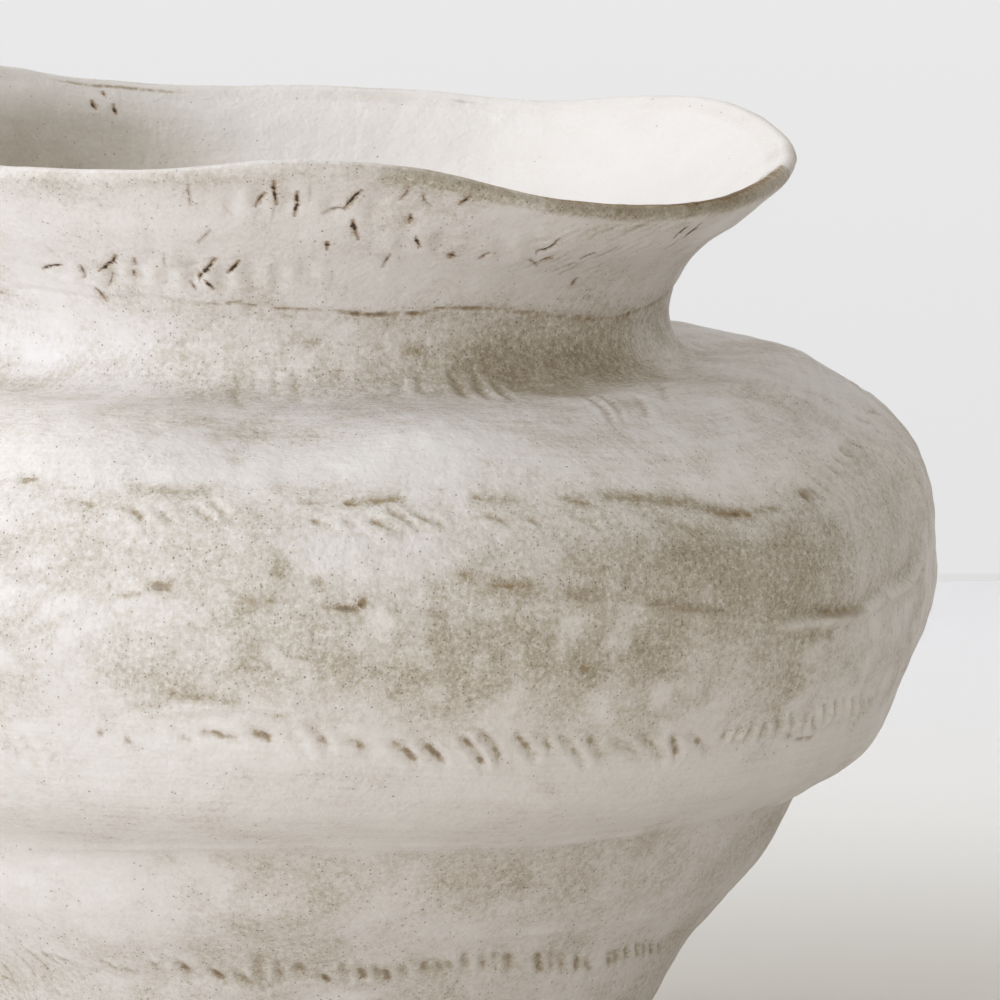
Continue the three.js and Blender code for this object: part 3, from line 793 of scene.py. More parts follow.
def press_fingers(clay):
    """Rows of grooves where fingers worked one coil into the next."""
    for marks in (BELLY_FINGERS, FOOT_FINGERS, SHOULDER_FINGERS, CREASE_FINGERS):
        for left, top, right, bottom, width, depth, stain, bend in marks:
            start, end = clay.find((left, top)), clay.find((right, bottom))
            clay.stroke(start, end, width, FINGER_FORCE * depth, stain, 0.2, bend=bend)
    for left, top, right, bottom, width, depth in COLLAR_DIMPLES:
        clay.stroke(clay.find((left, top)), clay.find((right, bottom)), width, depth)
    for number, (joint, above, apart, lean, length, width, depth, stain) in enumerate(FINGER_ROWS):
        random = np.random.RandomState(SEED + 200 + number)
        turns, radius = unseen(clay, joint, apart, random)
        for turn in turns:
            wander, leaning, longer, deeper, browner = random.uniform(-1, 1, 5)
            middle = clay.joints[joint] + above + 1.2 * wander
            ends = leaning_ends(turn, middle, radius, lean + 14 * leaning, length * (1 + 0.25 * longer))
            depth_here = depth * (1 + 0.4 * deeper)
            clay.stroke(*ends, width, depth_here, stain * (0.7 + 0.6 * browner), 0.2, bend=0.4 * wander)


def leave_cracks(clay):
    """Thin cracks where the collar was stretched outwards, and a few pits."""
    for number, (left, top, right, bottom, strength, bend) in enumerate(CRACKS):
        clay.split(clay.find((left, top)), clay.find((right, bottom)), strength, number, bend)
    for pits, inner in ((COLLAR_PITS, False), (LIP_PITS, True)):
        for number, (across, down, size) in enumerate(pits):
            turn, along = clay.find((across, down), inner)
            end = (turn, along + size)
            clay.split((turn, along - size), end, 0.7 + size, number, inner=inner)
    for row, (joint, above, apart, lean, length) in enumerate(CRACK_ROWS):
        random = np.random.RandomState(SEED + 300 + row)
        turns, radius = unseen(clay, joint, apart, random)
        for number, turn in enumerate(turns):
            wander, leaning, longer, harder = random.uniform(-1, 1, 4)
            middle = clay.joints[joint] + above + 1.5 * wander
            ends = leaning_ends(turn, middle, radius, lean + 30 * leaning, length * (1 + 0.5 * longer))
            clay.split(*ends, 0.6 + 0.4 * harder, number, 0.5 * wander)


def stretch_collar(clay):
    """Faint slanting wrinkles where the collar was drawn out furthest, at the right."""
    random = np.random.RandomState(SEED + 400)
    left, top = WRINKLES_FROM
    for _ in range(WRINKLES):
        across, down, longer = random.uniform((left, -22, 14), (WRINKLES_TO, 22, 34))
        start = (across, top - 0.14 * (across - left) + down)
        end = (across + longer, start[1] - 0.45 * longer)
        if end[0] < COLLAR_EDGE:
            clay.stroke(clay.find(start), clay.find(end), 0.9, random.uniform(0.12, 0.28), 0.06, 0.3)


def raise_ridges(clay):
    """Raised lines that die away at both ends, with a shallow valley above each. Each crest gets a painted
    highlight, and each valley a little painted shade.
    """
    for places_seen, width, height, crest_highlight in RIDGES:
        ends = [clay.find(pixel) for pixel in places_seen]
        for number, (start, end) in enumerate(zip(ends, ends[1:])):
            near, p, q, length = clay.line(start, end, width)
            within = (np.abs(p) <= length / 2).astype(float)
            fade = min(5 * width, length)
            if number == 0:
                within *= step(p + length / 2, 0, fade)
            if number == len(ends) - 2:
                within *= step(length / 2 - p, 0, fade)
            crest = hill(q, width) * within
            above = hill(q - 2.2 * width, 1.1 * width) * within
            clay.relief[near] += height * (crest - 0.25 * above)
            # Each crest gets a painted highlight, and the valley above it a little painted shade.
            clay.pale[near] += crest_highlight * crest
            clay.wash[near] += 0.06 * height * above


def draw_neck_line(clay):
    """The groove and thin brown line where the flared collar was joined to the neck, all round the pot."""
    outer = clay.inside < 0.5
    over = clay.over(NECK) + 0.5 * clay.round_about(14, 50)
    ends = [clay.find((across, down)) for across, down, _ in NECK_LINE]
    turns = np.array([end[0] for end in ends])
    heights = np.array([end[1] for end in ends]) - clay.joints[NECK]
    browns = np.array([brown for _, _, brown in NECK_LINE])
    order = np.argsort(turns)
    from_front = wrapped(clay.turn - math.radians(FRONT)) + math.radians(FRONT)
    first, last = turns.min(), turns.max()
    seen = step(from_front, first - 0.2, first) * (1 - step(from_front, last, last + 0.2))
    line = np.interp(from_front, turns[order], heights[order])
    brown = np.interp(from_front, turns[order], browns[order])
    elsewhere = (0.45 + 0.9 * clay.round_about(22, 51)).clip(0, 1)
    over = seen * (clay.over(NECK) - line) + (1 - seen) * over
    brown = seen * brown + (1 - seen) * elsewhere
    clay.relief -= 0.3 * outer * hill(over, 0.9)
    clay.relief += 0.12 * outer * hill(over - 2.2, 1.4)
    clay.stain += 1.5 * outer * brown * clay.broken * hill(over, 0.6)
    clay.wash += 0.35 * outer * brown * hill(over + 1, 2)


def brown_the_lip(clay):
    """The glaze has drawn back from the lip's end and lets the clay through, most along its upper edge."""
    crest = (np.abs(clay.level - LIP) < 0.001) & (np.abs(clay.inside - 0.5) < 0.1)
    front = np.flatnonzero(crest & (clay.turn < 0.6) & (clay.turn > math.radians(FRONT) - 1.1))
    order = front[np.argsort(clay.turn[front])]
    across, thin, brown = np.array(LIP_LINE).T
    thin_here = np.interp(clay.photo[order, 0], across, thin)
    brown_here = np.interp(clay.photo[order, 0], across, brown)
    forward = clay.turn[order] < -0.12
    seen = (clay.turn > clay.turn[order[0]]) & (clay.turn < -0.12)
    elsewhere = 0.25 + 0.4 * clay.round_about(40, 52)
    thin = np.where(seen, np.interp(clay.turn, clay.turn[order[forward]], thin_here[forward]), elsewhere)
    brown = np.interp(clay.turn, clay.turn[order[forward]], brown_here[forward])
    browned = (np.abs(clay.turn) > 1) * (0.7 * clay.round_about(30, 53)).clip(0, 0.5)
    brown = np.where(seen, brown, browned)
    over = clay.along - clay.joints[LIP] + LIP_ROUND * clay.inside + 0.5 * clay.round_about(9, 54)
    at_lip = clay.level > LIP - 1
    face = step(over, -3.2, 2.6) * (1 - step(over, 5.6, 7.4)) * at_lip
    clay.wash += (0.95 + 0.2 * clay.round_about(9, 55)) * thin * face
    clay.wash += 0.4 * brown * hill(over - 4.2, 2.2) * at_lip
    clay.stain += 1.1 * brown * hill(over - 4.6, 1.1) * at_lip


# Where the glaze is thin.

PHOTO_EDGE = (-14, -2)  # pixels across over which marks placed by chance give way to those that show
INSIDE_SHADE = (60, 330)  # pixels across over which the painted shade and darker glaze inside, at the left, run out

# How much clay shows through the glaze at each level up the outside.
WASH_BY_LEVEL = [
    (-1, 0.35), (0, 0.42), (1.7, 0.42), (2, 0.45), (2.3, 0.28), (2.95, 0.34), (3.03, 0.04), (3.85, 0.04),
    (4.1, 0.32), (4.5, 0.48), (5, 0.48), (5.6, 0.4), (5.97, 0.38), (6.05, 0.24), (6.6, 0.26), (6.9, 0.42),
    (7.1, 0.55), (7.5, 0.5), (7.95, 0.42), (8.1, 0.3), (9, 0.2), (10, 0.2), (11, 0.3),
]

# Where thick white dabs of glaze lie, and how many pinholes there are, at each level.
DABS_BY_LEVEL = [(3.9, 0), (4.1, 1), (4.9, 1), (5.2, 0.2)]
PITS_BY_LEVEL = [
    (1.6, 0.8), (2, 1), (2.8, 1), (3, 0.9), (3.05, 0.15), (6, 0.1), (9, 0.35), (10.5, 0.3),
]

# Patches where more or less of the clay shows: a pixel across and down, how far they reach across and up in
# millimetres, and how much more shows. Those at (590, 390) and (565, 362), under the collar at the right, are
# also painted shade where the collar shades the neck.
WASH_AND_SHADE_PATCHES = [
    (720, 560, 34, 13, 0.5), (610, 560, 26, 12, 0.25), (840, 540, 18, 16, 0.3), (590, 390, 24, 7, 0.35),
    (475, 380, 16, 8, 0.15), (250, 425, 18, 7, 0.3), (240, 392, 9, 5, 0.2), (450, 640, 34, 12, 0.25),
    (300, 665, 16, 12, 0.2), (660, 640, 30, 10, 0.25), (520, 880, 34, 9, 0.2), (330, 880, 16, 8, 0.15),
    (760, 835, 16, 8, 0.2), (60, 330, 40, 14, -0.25), (30, 560, 20, 22, -0.1), (90, 890, 34, 14, -0.4),
    (565, 362, 34, 10, 0.85), (450, 680, 30, 10, 0.2), (790, 600, 16, 14, 0.2), (780, 420, 26, 14, 0.2),
    (620, 270, 18, 8, 0.2), (660, 320, 8, 12, 0.15), (400, 452, 30, 8, -0.35), (400, 560, 18, 10, -0.15),
    (400, 665, 20, 10, 0.15), (470, 272, 18, 8, -0.3), (350, 345, 24, 10, -0.15), (640, 880, 20, 9, -0.15),
    (330, 560, 12, 8, -0.2), (700, 430, 26, 8, -0.1), (560, 800, 60, 8, -0.05), (440, 555, 10, 6, -0.1),
]


def thin_the_glaze(clay):
    """Decides where the clay shows as a wash and specks, where it is stained and where the glaze is thick. It
    also paints shade under the collar at the right and inside the pot at the left.
    """
    outer = clay.inside < 0.5
    clay.wash += np.where(outer, by_level(clay, WASH_BY_LEVEL), 0.1)
    clay.wash += 0.28 * bumps(clay.place, 32, 60) + 0.16 * bumps(clay.place * np.array([1, 1, 1.5]), 12, 61)
    # Patches of clay showing; those under the collar at the right are also painted shade.
    for across, down, width, height, more in WASH_AND_SHADE_PATCHES:
        turn, along = clay.find((across, down))
        away = wrapped(clay.turn - turn) * clay.radius
        clay.wash += outer * more * hill(away, width) * hill(clay.along - along, height)
    for left, top, right, bottom, width, stain, wash in STAINS:
        clay.stroke(clay.find((left, top)), clay.find((right, bottom)), width, 0.05, stain, wash)
    facing = clay.normal @ np.array(CAMERA_BACK) > 2 * IN_SIGHT
    unseen_side = 1 - step(clay.photo[:, 0], *PHOTO_EDGE) * facing
    for joint in (WALL, BELLY, WAIST, SHOULDER):
        over = clay.over(joint) + 0.6 * clay.round_about(12, 70 + joint)
        patchy = step(clay.round_about(13, 80 + joint), 0.12, 0.5)
        clay.stain += outer * unseen_side * 0.75 * patchy * hill(over, 1.2)
    dabs = step(bumps(clay.place, 9, 62), 0.1, 0.7) * by_level(clay, DABS_BY_LEVEL)
    clay.pale += 0.35 * dabs * outer
    clay.wash -= 0.25 * dabs * outer
    clay.pits = outer * by_level(clay, PITS_BY_LEVEL)
    clay.wash *= 1 - 0.5 * clay.inside
    # Painted shade, with some darker glaze, inside the pot at the left and deeper down, where the rim shades
    # the inner wall.
    shaded_inside_left = 1 - step(clay.photo[:, 0], *INSIDE_SHADE)
    clay.wash += 0.85 * shaded_inside_left * clay.inside * step(-clay.level, -10.3, -8.8)


def work_the_clay(skin):
    clay = Clay(skin)
    shape_by_palm(clay)
    wipe_smooth(clay)
    lap_joints(clay)
    press_fingers(clay)
    leave_cracks(clay)
    stretch_collar(clay)
    raise_ridges(clay)
    draw_neck_line(clay)
    brown_the_lip(clay)
    thin_the_glaze(clay)
    clay.place += clay.normal * clay.relief[:, None]
    clay.mesh.vertices.foreach_set("co", (clay.place * MM).astype(np.float32).ravel())
    clay.mesh.update()
    for name in ("stain", "wash", "pale", "wipe", "pits"):
        add_values(clay.mesh, name, getattr(clay, name))
    add_values(clay.mesh, "wrap", clay.wrap * MM, "FLOAT_VECTOR")
    for number in range(2):
        add_values(clay.mesh, f"crack_{number}", clay.crack[number], "FLOAT_VECTOR")
    worked = np.empty(len(clay.turn) * 3, np.float32)
    clay.mesh.vertex_normals.foreach_get("vector", worked)
    add_values(clay.mesh, "worked_normal", worked, "FLOAT_VECTOR")


# Finishes.

def paint(red, green, blue):
    """A colour from its eight-bit screen values."""
    return (*[((part / 255 + 0.055) / 1.055) ** 2.4 for part in (red, green, blue)], 1)


def node(tree, kind, sockets=(), **settings):
    """A new node, with its settings, and with its sockets set to values or linked to other nodes' outputs."""
    made = tree.nodes.new(kind)
    for name, value in settings.items():
        setattr(made, name, value)
    for name, value in dict(sockets).items():
        if isinstance(value, bpy.types.NodeSocket):
            tree.links.new(value, made.inputs[name])
        else:
            made.inputs[name].default_value = value
    return made


def sum_up(tree, operation, first, second, clamp=False):
    sockets = {0: first, 1: second}
    return node(tree, "ShaderNodeMath", sockets, operation=operation, use_clamp=clamp).outputs[0]


def plus(tree, first, second):
    return sum_up(tree, "ADD", first, second)


def less(tree, first, second, clamp=False):
    return sum_up(tree, "SUBTRACT", first, second, clamp)


def times(tree, first, second, clamp=False):
    return sum_up(tree, "MULTIPLY", first, second, clamp)


def kept(tree, name, output="Fac"):
    """A value that was kept on the mesh's points."""
    return node(tree, "ShaderNodeAttribute", attribute_name=name).outputs[output]


def grain(tree, place, size, detail=2.0, rough=0.55):
    """Random values from 0 to 1, with bumps about size millimetres apart."""
    sockets = {"Vector": place, "Scale": 1 / (size * MM), "Detail": detail, "Roughness": rough}
    return node(tree, "ShaderNodeTexNoise", sockets).outputs[0]


def ramp(tree, value, low, high, top=1.0):
    """0 where the value is below low and top where it is above high, and smooth between."""
    sockets = {"Value": value, "From Min": low, "From Max": high, "To Max": top}
    return node(tree, "ShaderNodeMapRange", sockets, interpolation_type="SMOOTHSTEP").outputs[0]


def coat(tree, share, under, over):
    """One colour laid over another, as thick as share says."""
    return node(tree, "ShaderNodeMix", {0: share, 6: under, 7: over}, data_type="RGBA").outputs[2]


STREAK_SCALE = (0.06, 0.06, 1)  # wiped streaks run far round the pot and are thin upwards

# The sizes of the glaze's patterns in millimetres.
FINE = 1.5
SMALL = 2.4
STREAK = 1.6
DAPPLE = 11.0
FLECK_GAP = 0.8
PINHOLE_GAP = 1.8
PIN_GAP = 6.5
CRACK_WOBBLE = 1.4

# The glaze from where it is thickest to where it is thinnest, and how thin it is at each.
GLAZE_TONES = [
    (-0.35, paint(241, 239, 239)), (0.15, paint(233, 229, 228)), (0.5, paint(216, 210, 204)),
    (1.0, paint(184, 175, 160)), (1.7, paint(150, 138, 115)),
]
GLAZE_THICK_AND_HIGHLIGHT = paint(243, 240, 236)
CLAY_OLIVE = paint(155, 132, 93)
CLAY_TAN = paint(158, 131, 94)
CLAY_BROWN = paint(90, 62, 32)
CLAY_GRIT = paint(110, 92, 66)
CRACK_DARK = paint(68, 55, 40)
CRACK_EDGE = paint(146, 106, 58)
BARE_CLAY = paint(189, 168, 141)


def toned(tree, value, tones):
    """A colour that runs through the given ones as the value rises."""
    first, last = tones[0][0], tones[-1][0]
    share = node(tree, "ShaderNodeMapRange", {"Value": value, "From Min": first, "From Max": last}).outputs[0]
    made = node(tree, "ShaderNodeValToRGB", {0: share})
    stops = made.color_ramp.elements
    stops[0].color = tones[0][1]
    stops[1].color = tones[-1][1]
    for at, colour in tones[1:-1]:
        stops.new((at - first) / (last - first)).color = colour
    return made.outputs[0]


def crack_masks(tree, number, wobble):
    """1 in a thin crack, and 1 in the brown edge round it. A crack's points keep how far they lie along it,
    from -1 to 1, how far across it, and its strength."""
    parts = node(tree, "ShaderNodeSeparateXYZ", {0: kept(tree, f"crack_{number}", "Vector")}).outputs
    along = sum_up(tree, "POWER", sum_up(tree, "ABSOLUTE", parts[0], 0), 4.0)
    width = times(tree, less(tree, 1.0, along, clamp=True), parts[2])
    width = times(tree, width, spread(tree, wobble, 0.38, 2.4))
    across = sum_up(tree, "ABSOLUTE", plus(tree, parts[1], spread(tree, wobble, 0.5, 0.5)), 0)
    deep = less(tree, width, across)
    plain = times(tree, parts[2], 1.3, clamp=True)
    core, edge = ramp(tree, deep, -0.1, 0.15), ramp(tree, deep, -0.9, -0.1)
    return times(tree, core, plain), times(tree, edge, plain)


def speck_mask(tree, place, apart, size, share):
    """1 in small round specks, on about a share of the cells of a random net."""
    cells = node(tree, "ShaderNodeTexVoronoi", {"Vector": place, "Scale": 1 / (apart * MM)})
    chance = node(tree, "ShaderNodeSeparateColor", {0: cells.outputs["Color"]}).outputs
    reach = times(tree, chance[1], size / apart)
    there = sum_up(tree, "GREATER_THAN", share, chance[0])
    near = ramp(tree, less(tree, reach, cells.outputs["Distance"]), -0.02, 0.03)
    return times(tree, near, there)


def spread(tree, value, middle, width):
    """How far a value lies from its middle, times a width."""
    return times(tree, less(tree, value, middle), width)


def glaze_nodes(tree):
    """The glaze: its colour, its roughness and its relief in millimetres, as sockets."""
    place = node(tree, "ShaderNodeTexCoord").outputs["Object"]
    wrap = kept(tree, "wrap", "Vector")
    fine = grain(tree, place, FINE, 4.0, 0.85)
    dappled = grain(tree, place, DAPPLE, 3.0, 0.75)
    small = grain(tree, place, SMALL, 2.0)
    streaked = node(tree, "ShaderNodeMapping", {"Vector": wrap, "Scale": STREAK_SCALE}, vector_type="POINT")
    streaks = grain(tree, streaked.outputs[0], STREAK, 3.0, 0.6)
    wiped = times(tree, less(tree, streaks, 0.5), kept(tree, "wipe"))
    outside = less(tree, 1.0, times(tree, kept(tree, "inside"), 0.8))
    dapple = times(tree, spread(tree, dappled, 0.5, 1.0), outside)
    wash = plus(tree, kept(tree, "wash"), dapple)
    wash = plus(tree, wash, times(tree, wiped, 0.8))
    thin = sum_up(tree, "MAXIMUM", wash, 0.0)
    speckled = times(tree, plus(tree, times(tree, thin, 2.6), 0.85), outside)
    tone = plus(tree, wash, times(tree, less(tree, fine, 0.5), speckled))
    colour = toned(tree, tone, GLAZE_TONES)
    flecks = speck_mask(tree, place, FLECK_GAP, 0.29, times(tree, times(tree, thin, 0.6), outside))
    colour = coat(tree, times(tree, flecks, 0.6), colour, CLAY_GRIT)

    stain = kept(tree, "stain")
    uneven = plus(tree, spread(tree, small, 0.5, 2.0), spread(tree, fine, 0.5, 2.4))
    stain = times(tree, stain, plus(tree, uneven, 1.0))
    colour = coat(tree, ramp(tree, stain, 0.04, 0.65, 0.72), colour, CLAY_OLIVE)
    colour = coat(tree, ramp(tree, stain, 0.5, 1.4, 0.72), colour, CLAY_BROWN)
    # Thick white dabs of glaze, and painted highlights on raised crests and on clay heaped beside grooves.
    pale = times(tree, kept(tree, "pale"), plus(tree, small, 0.3), clamp=True)
    colour = coat(tree, times(tree, pale, 0.8), colour, GLAZE_THICK_AND_HIGHLIGHT)

    pins = speck_mask(tree, place, PIN_GAP, 0.3, times(tree, outside, 0.25))
    colour = coat(tree, times(tree, pins, 0.7), colour, CLAY_BROWN)
    pinholes = speck_mask(tree, place, PINHOLE_GAP, 0.3, times(tree, kept(tree, "pits"), 0.24))
    colour = coat(tree, times(tree, pinholes, 0.6), colour, CLAY_BROWN)
    wobble = grain(tree, place, CRACK_WOBBLE, 1.0)
    masks = [crack_masks(tree, number, wobble) for number in range(2)]
    cracks, edges = (sum_up(tree, "MAXIMUM", first, second) for first, second in zip(*masks))
    colour = coat(tree, times(tree, edges, 0.55), colour, CRACK_EDGE)
    colour = coat(tree, cracks, colour, CRACK_DARK)

    relief = times(tree, grain(tree, place, 4.0, 2.0, 0.6), 0.42)
    relief = plus(tree, relief, times(tree, grain(tree, place, 1.3, 1.0), 0.16))
    relief = plus(tree, relief, times(tree, wiped, 0.14))
    sunk = ramp(tree, stain, 0.1, 1.2)
    for mask, depth in ((flecks, 0.05), (pinholes, 0.2), (cracks, 0.3), (sunk, 0.25)):
        relief = less(tree, relief, times(tree, mask, depth))
    rough = plus(tree, times(tree, thin, 0.15), 0.5)
    return colour, rough, relief


def new_tree(name):
    material = bpy.data.materials.new(name)
    material.use_nodes = True
    material.node_tree.nodes.clear()
    return material, material.node_tree


def finish_surface(tree, colour, rough, relief):
    """Joins a surface's colour, roughness and relief into its shader."""
    bump = node(tree, "ShaderNodeBump", {"Height": relief, "Distance": MM, "Strength": 1.0})
    sockets = {"Base Color": colour, "Roughness": rough, "Normal": bump.outputs[0]}
    shader = node(tree, "ShaderNodeBsdfPrincipled", sockets)
    node(tree, "ShaderNodeOutputMaterial", {"Surface": shader.outputs[0]})


def white_glaze():
    material, tree = new_tree("white_glaze")
    finish_surface(tree, *glaze_nodes(tree))
    return material


def glazed_foot():
    """The slab's finish: glaze down to a wavering line above the table, and bare speckled clay below it."""
    material, tree = new_tree("bare_foot")
    colour, rough, relief = glaze_nodes(tree)
    place = node(tree, "ShaderNodeTexCoord").outputs["Object"]
    height = node(tree, "ShaderNodeSeparateXYZ", {0: place}).outputs[2]
    line = plus(tree, times(tree, grain(tree, place, 14.0), 2.4 * MM), 0.6 * MM)
    bare = ramp(tree, less(tree, line, height), -0.15 * MM, 0.15 * MM)
    clay = coat(tree, ramp(tree, grain(tree, place, 7.0, 4.0), 0.4, 0.7, 0.4), BARE_CLAY, CLAY_TAN)
    clay = coat(tree, speck_mask(tree, place, 1.5, 0.4, 0.4), clay, CLAY_BROWN)
    clay = coat(tree, ramp(tree, grain(tree, place, 0.5), 0.55, 0.7, 0.5), clay, CLAY_GRIT)
    colour = coat(tree, bare, colour, clay)
    rough = plus(tree, rough, times(tree, bare, 0.3))
    relief = plus(tree, relief, times(tree, less(tree, 1.0, bare), 0.12))
    finish_surface(tree, colour, rough, relief)
    return material


# The pieces.

def close_beds(piece, number):
    """Closes a piece between its outside and its inside, where it meets the pieces below and above it."""
    level = get_values(piece.data, "level")
    count = np.zeros(len(piece.data.edges), int)
    of_loop = np.empty(len(piece.data.loops), int)
    piece.data.loops.foreach_get("edge_index", of_loop)
    np.add.at(count, of_loop, 1)
    ends = np.empty(len(piece.data.edges) * 2, int)
    piece.data.edges.foreach_get("vertices", ends)
    height = level[ends.reshape(-1, 2)].mean(1)
    for joint in (number - 1, number):
        if joint < 0 or joint == LIP:
            continue
        pick(piece, "EDGE", (count == 1) & (np.abs(height - joint) < 0.4))
        bpy.ops.mesh.bridge_edge_loops()
        close_edit()


def keep_worked_normals(piece):
    """Shades the piece's faces as the whole skin's, so that light runs on smoothly from piece to piece."""
    mesh = piece.data
    corner = np.empty(len(mesh.loops), int)
    mesh.loops.foreach_get("vertex_index", corner)
    sizes = np.empty(len(mesh.polygons), int)
    mesh.polygons.foreach_get("loop_total", sizes)
    starts = np.concatenate([[0], np.cumsum(sizes)[:-1]])
    inside = get_values(mesh, "inside")[corner]
    on_bed = np.maximum.reduceat(inside, starts) - np.minimum.reduceat(inside, starts) > 0.9
    normals = get_values(mesh, "worked_normal", "FLOAT_VECTOR")[corner]
    normals[np.repeat(on_bed, sizes)] = 0
    mesh.normals_split_custom_set(normals)
    mesh.attributes.remove(mesh.attributes["worked_normal"])


def cut_into_pieces(skin, glaze, foot):
    """Cuts the skin at the joints, closes each piece, and gives it its name, finish and place in the part."""
    edit(skin)
    bpy.ops.mesh.separate(type="MATERIAL")
    close_edit()
    parts = [part for part in bpy.context.selected_objects if part.type == "MESH"]
    parts += [skin] if skin not in parts else []
    for part in parts:
        number = PIECES.index(part.data.materials[0].name)
        close_beds(part, number)
        bpy.context.view_layer.objects.active = part
        deselect()
        part.select_set(True)
        bpy.ops.object.shade_smooth()
        keep_worked_normals(part)
        part.name = part.data.name = "worked_" + PIECES[number]
        part.data.materials.clear()
        part.data.materials.append(glaze if number else foot)
        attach(part, "root")
        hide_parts(PIECES[number])


# Floor, backdrop, light and camera.

FLOOR_COLOUR = paint(232, 227, 220)
FLOOR_FAR = (0.965, 0.975, 1.0, 1)
# The floor's painted shadow near the pot, as the camera sees it.
FLOOR_SHADOW_NEAR_POT = (0.71, 0.70, 0.69, 1)
FLOOR_GLOW = (0.04, 0.045, 0.08, 1)
WALL_LOW = paint(229, 229, 229)
WALL_HIGH = paint(236, 236, 236)
# The painted shade line at the foot of the wall.
WALL_FOOT_SHADE = paint(222, 222, 221)

# Metres: the side of the floor and of the wall, how far the wall is behind the pot's axis, how high up it
# changes in tone, how far from the pot the floor's painted shadow and its glow change, and how far the camera
# sees.
ROOM_SIZE = 6.0
WALL_AWAY = 1.08
WALL_FADE = (0.0, 0.35)
FLOOR_SHADOW_FADE = (0.18, 0.66)
GLOW_FADE = (0.5, 1.0)
SHADE_LINE_HEIGHT = 0.0026  # the painted shade line where the wall meets the floor
SIGHT_END = 20

ROOM_LIGHT = (1.0, 0.925, 0.73, 1)
ROOM_STRENGTH = 0.14
COOL_LIGHT = (0.85, 0.91, 1.0)
WARM_LIGHT = (1.0, 0.965, 0.91)

# The lamps: how far round from the front each stands, with 90 at the pot's right, how high, both in degrees,
# its width in metres, its power in watts and its colour. All stand equally far away.
LAMP_AWAY = 2.4
LAMPS = [
    ("key", -60, 20, 1.6, 31, COOL_LIGHT),
    ("high_left", -110, 55, 1.6, 25, WARM_LIGHT),
    ("front", 0, 20, 1.6, 17, WARM_LIGHT),
    ("far_right", 130, 38, 1.3, 17, WARM_LIGHT),
]


def plane(name, size, place, turn):
    deselect()
    bpy.ops.mesh.primitive_plane_add(size=size, location=place, rotation=turn)
    made = bpy.context.object
    made.name = name
    return made


def seen_directly(tree):
    """1 for a ray from the camera, or by way of gloss or clear glass, and 0 for one that lights the pot."""
    path = node(tree, "ShaderNodeLightPath").outputs
    by_gloss = sum_up(tree, "MAXIMUM", path["Is Glossy Ray"], path["Is Transmission Ray"])
    return sum_up(tree, "MAXIMUM", path["Is Camera Ray"], by_gloss)


def floor():
    """A pale, matt floor. To the eye it carries a painted shadow of the pot, darker near the pot, and is
    nearly white further away.
    """
    material, tree = new_tree("pale_floor")
    direct = seen_directly(tree)
    place = node(tree, "ShaderNodeNewGeometry").outputs["Position"]
    from_pot = node(tree, "ShaderNodeVectorMath", {0: place}, operation="LENGTH").outputs["Value"]
    # Painted shadow of the pot: to the camera the floor is darker near the pot.
    seen = coat(tree, ramp(tree, from_pot, *FLOOR_SHADOW_FADE), FLOOR_SHADOW_NEAR_POT, FLOOR_FAR)
    matt = node(tree, "ShaderNodeBsdfDiffuse", {"Color": coat(tree, direct, FLOOR_COLOUR, seen)})
    far_away = times(tree, ramp(tree, from_pot, *GLOW_FADE), direct)
    glow = node(tree, "ShaderNodeEmission", {"Color": FLOOR_GLOW, "Strength": far_away})
    both = node(tree, "ShaderNodeAddShader", {0: matt.outputs[0], 1: glow.outputs[0]})
    node(tree, "ShaderNodeOutputMaterial", {"Surface": both.outputs[0]})
    ground = plane("floor", ROOM_SIZE, (0, WALL_AWAY - ROOM_SIZE / 2, 0), (0, 0, 0))
    ground.data.materials.append(material)


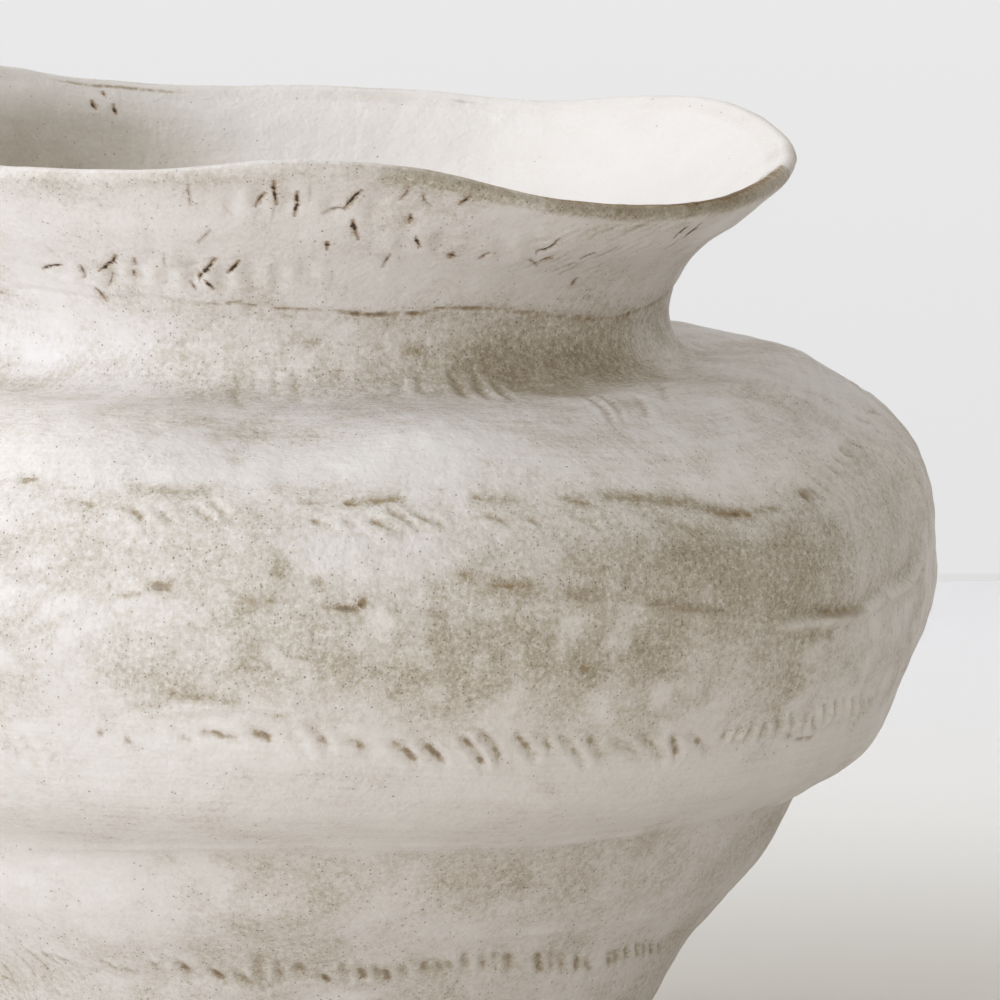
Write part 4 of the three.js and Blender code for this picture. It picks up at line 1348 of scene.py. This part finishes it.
def backdrop():
    """A pale wall. The camera sees it as one even paleness, with a thin painted shade line along its foot
    where it meets the floor, and it gives light back to the pot as a matt wall does. From behind it is clear,
    so that it never hides the pot."""
    material, tree = new_tree("pale_wall")
    place = node(tree, "ShaderNodeNewGeometry").outputs["Position"]
    height = node(tree, "ShaderNodeSeparateXYZ", {0: place}).outputs[2]
    tone = coat(tree, ramp(tree, height, *WALL_FADE), WALL_LOW, WALL_HIGH)
    # A thin painted shade line where the wall meets the floor.
    tone = coat(tree, ramp(tree, height, 1.2 * SHADE_LINE_HEIGHT, 0.8 * SHADE_LINE_HEIGHT), tone, WALL_FOOT_SHADE)
    seen = node(tree, "ShaderNodeEmission", {"Color": tone})
    lit = node(tree, "ShaderNodeBsdfDiffuse", {"Color": WALL_HIGH})
    sockets = {0: seen_directly(tree), 1: lit.outputs[0], 2: seen.outputs[0]}
    either = node(tree, "ShaderNodeMixShader", sockets)
    behind = node(tree, "ShaderNodeNewGeometry").outputs["Backfacing"]
    clear = node(tree, "ShaderNodeBsdfTransparent")
    one_sided = node(tree, "ShaderNodeMixShader", {0: behind, 1: either.outputs[0], 2: clear.outputs[0]})
    node(tree, "ShaderNodeOutputMaterial", {"Surface": one_sided.outputs[0]})
    wall = plane("backdrop", ROOM_SIZE, (0, WALL_AWAY, ROOM_SIZE / 2), (math.pi / 2, 0, 0))
    wall.data.materials.append(material)


def lamp(name, azimuth, rise, size, power, warmth):
    """A soft square lamp that looks at the pot."""
    light = bpy.data.lights.new(name, "AREA")
    light.shape = "SQUARE"
    light.size = size
    light.energy = power
    light.color = warmth
    made = bpy.data.objects.new(name, light)
    bpy.context.scene.collection.objects.link(made)
    azimuth, rise = math.radians(azimuth), math.radians(rise)
    out = Vector((math.sin(azimuth) * math.cos(rise), -math.cos(azimuth) * math.cos(rise), math.sin(rise)))
    made.location = CAMERA_AIM + LAMP_AWAY * out
    made.rotation_euler = out.to_track_quat("Z", "Y").to_euler()


def light_the_room():
    for settings in LAMPS:
        lamp(*settings)
    world = bpy.data.worlds.new("room")
    bpy.context.scene.world = world
    world.use_nodes = True
    tree = world.node_tree
    tree.nodes.clear()
    room = node(tree, "ShaderNodeBackground", {"Color": ROOM_LIGHT, "Strength": ROOM_STRENGTH})
    seen = node(tree, "ShaderNodeBackground", {"Color": WALL_HIGH, "Strength": 1.0})
    sockets = {0: seen_directly(tree), 1: room.outputs[0], 2: seen.outputs[0]}
    either = node(tree, "ShaderNodeMixShader", sockets)
    node(tree, "ShaderNodeOutputWorld", {"Surface": either.outputs[0]})
    bpy.context.scene.view_settings.view_transform = "Standard"


def camera():
    made = bpy.data.objects.new("camera", bpy.data.cameras.new("camera"))
    bpy.context.scene.collection.objects.link(made)
    made.data.sensor_width = SENSOR_WIDTH
    made.data.lens = LENS
    made.location = CAMERA_AIM + CAMERA_DISTANCE * CAMERA_BACK
    made.rotation_euler = CAMERA_BACK.to_track_quat("Z", "Y").to_euler()
    made.data.clip_end = SIGHT_END
    bpy.context.scene.camera = made


camera()
floor()
backdrop()
light_the_room()
clay_and_coils = clay_skin()
work_the_clay(clay_and_coils)
cut_into_pieces(clay_and_coils, white_glaze(), glazed_foot())
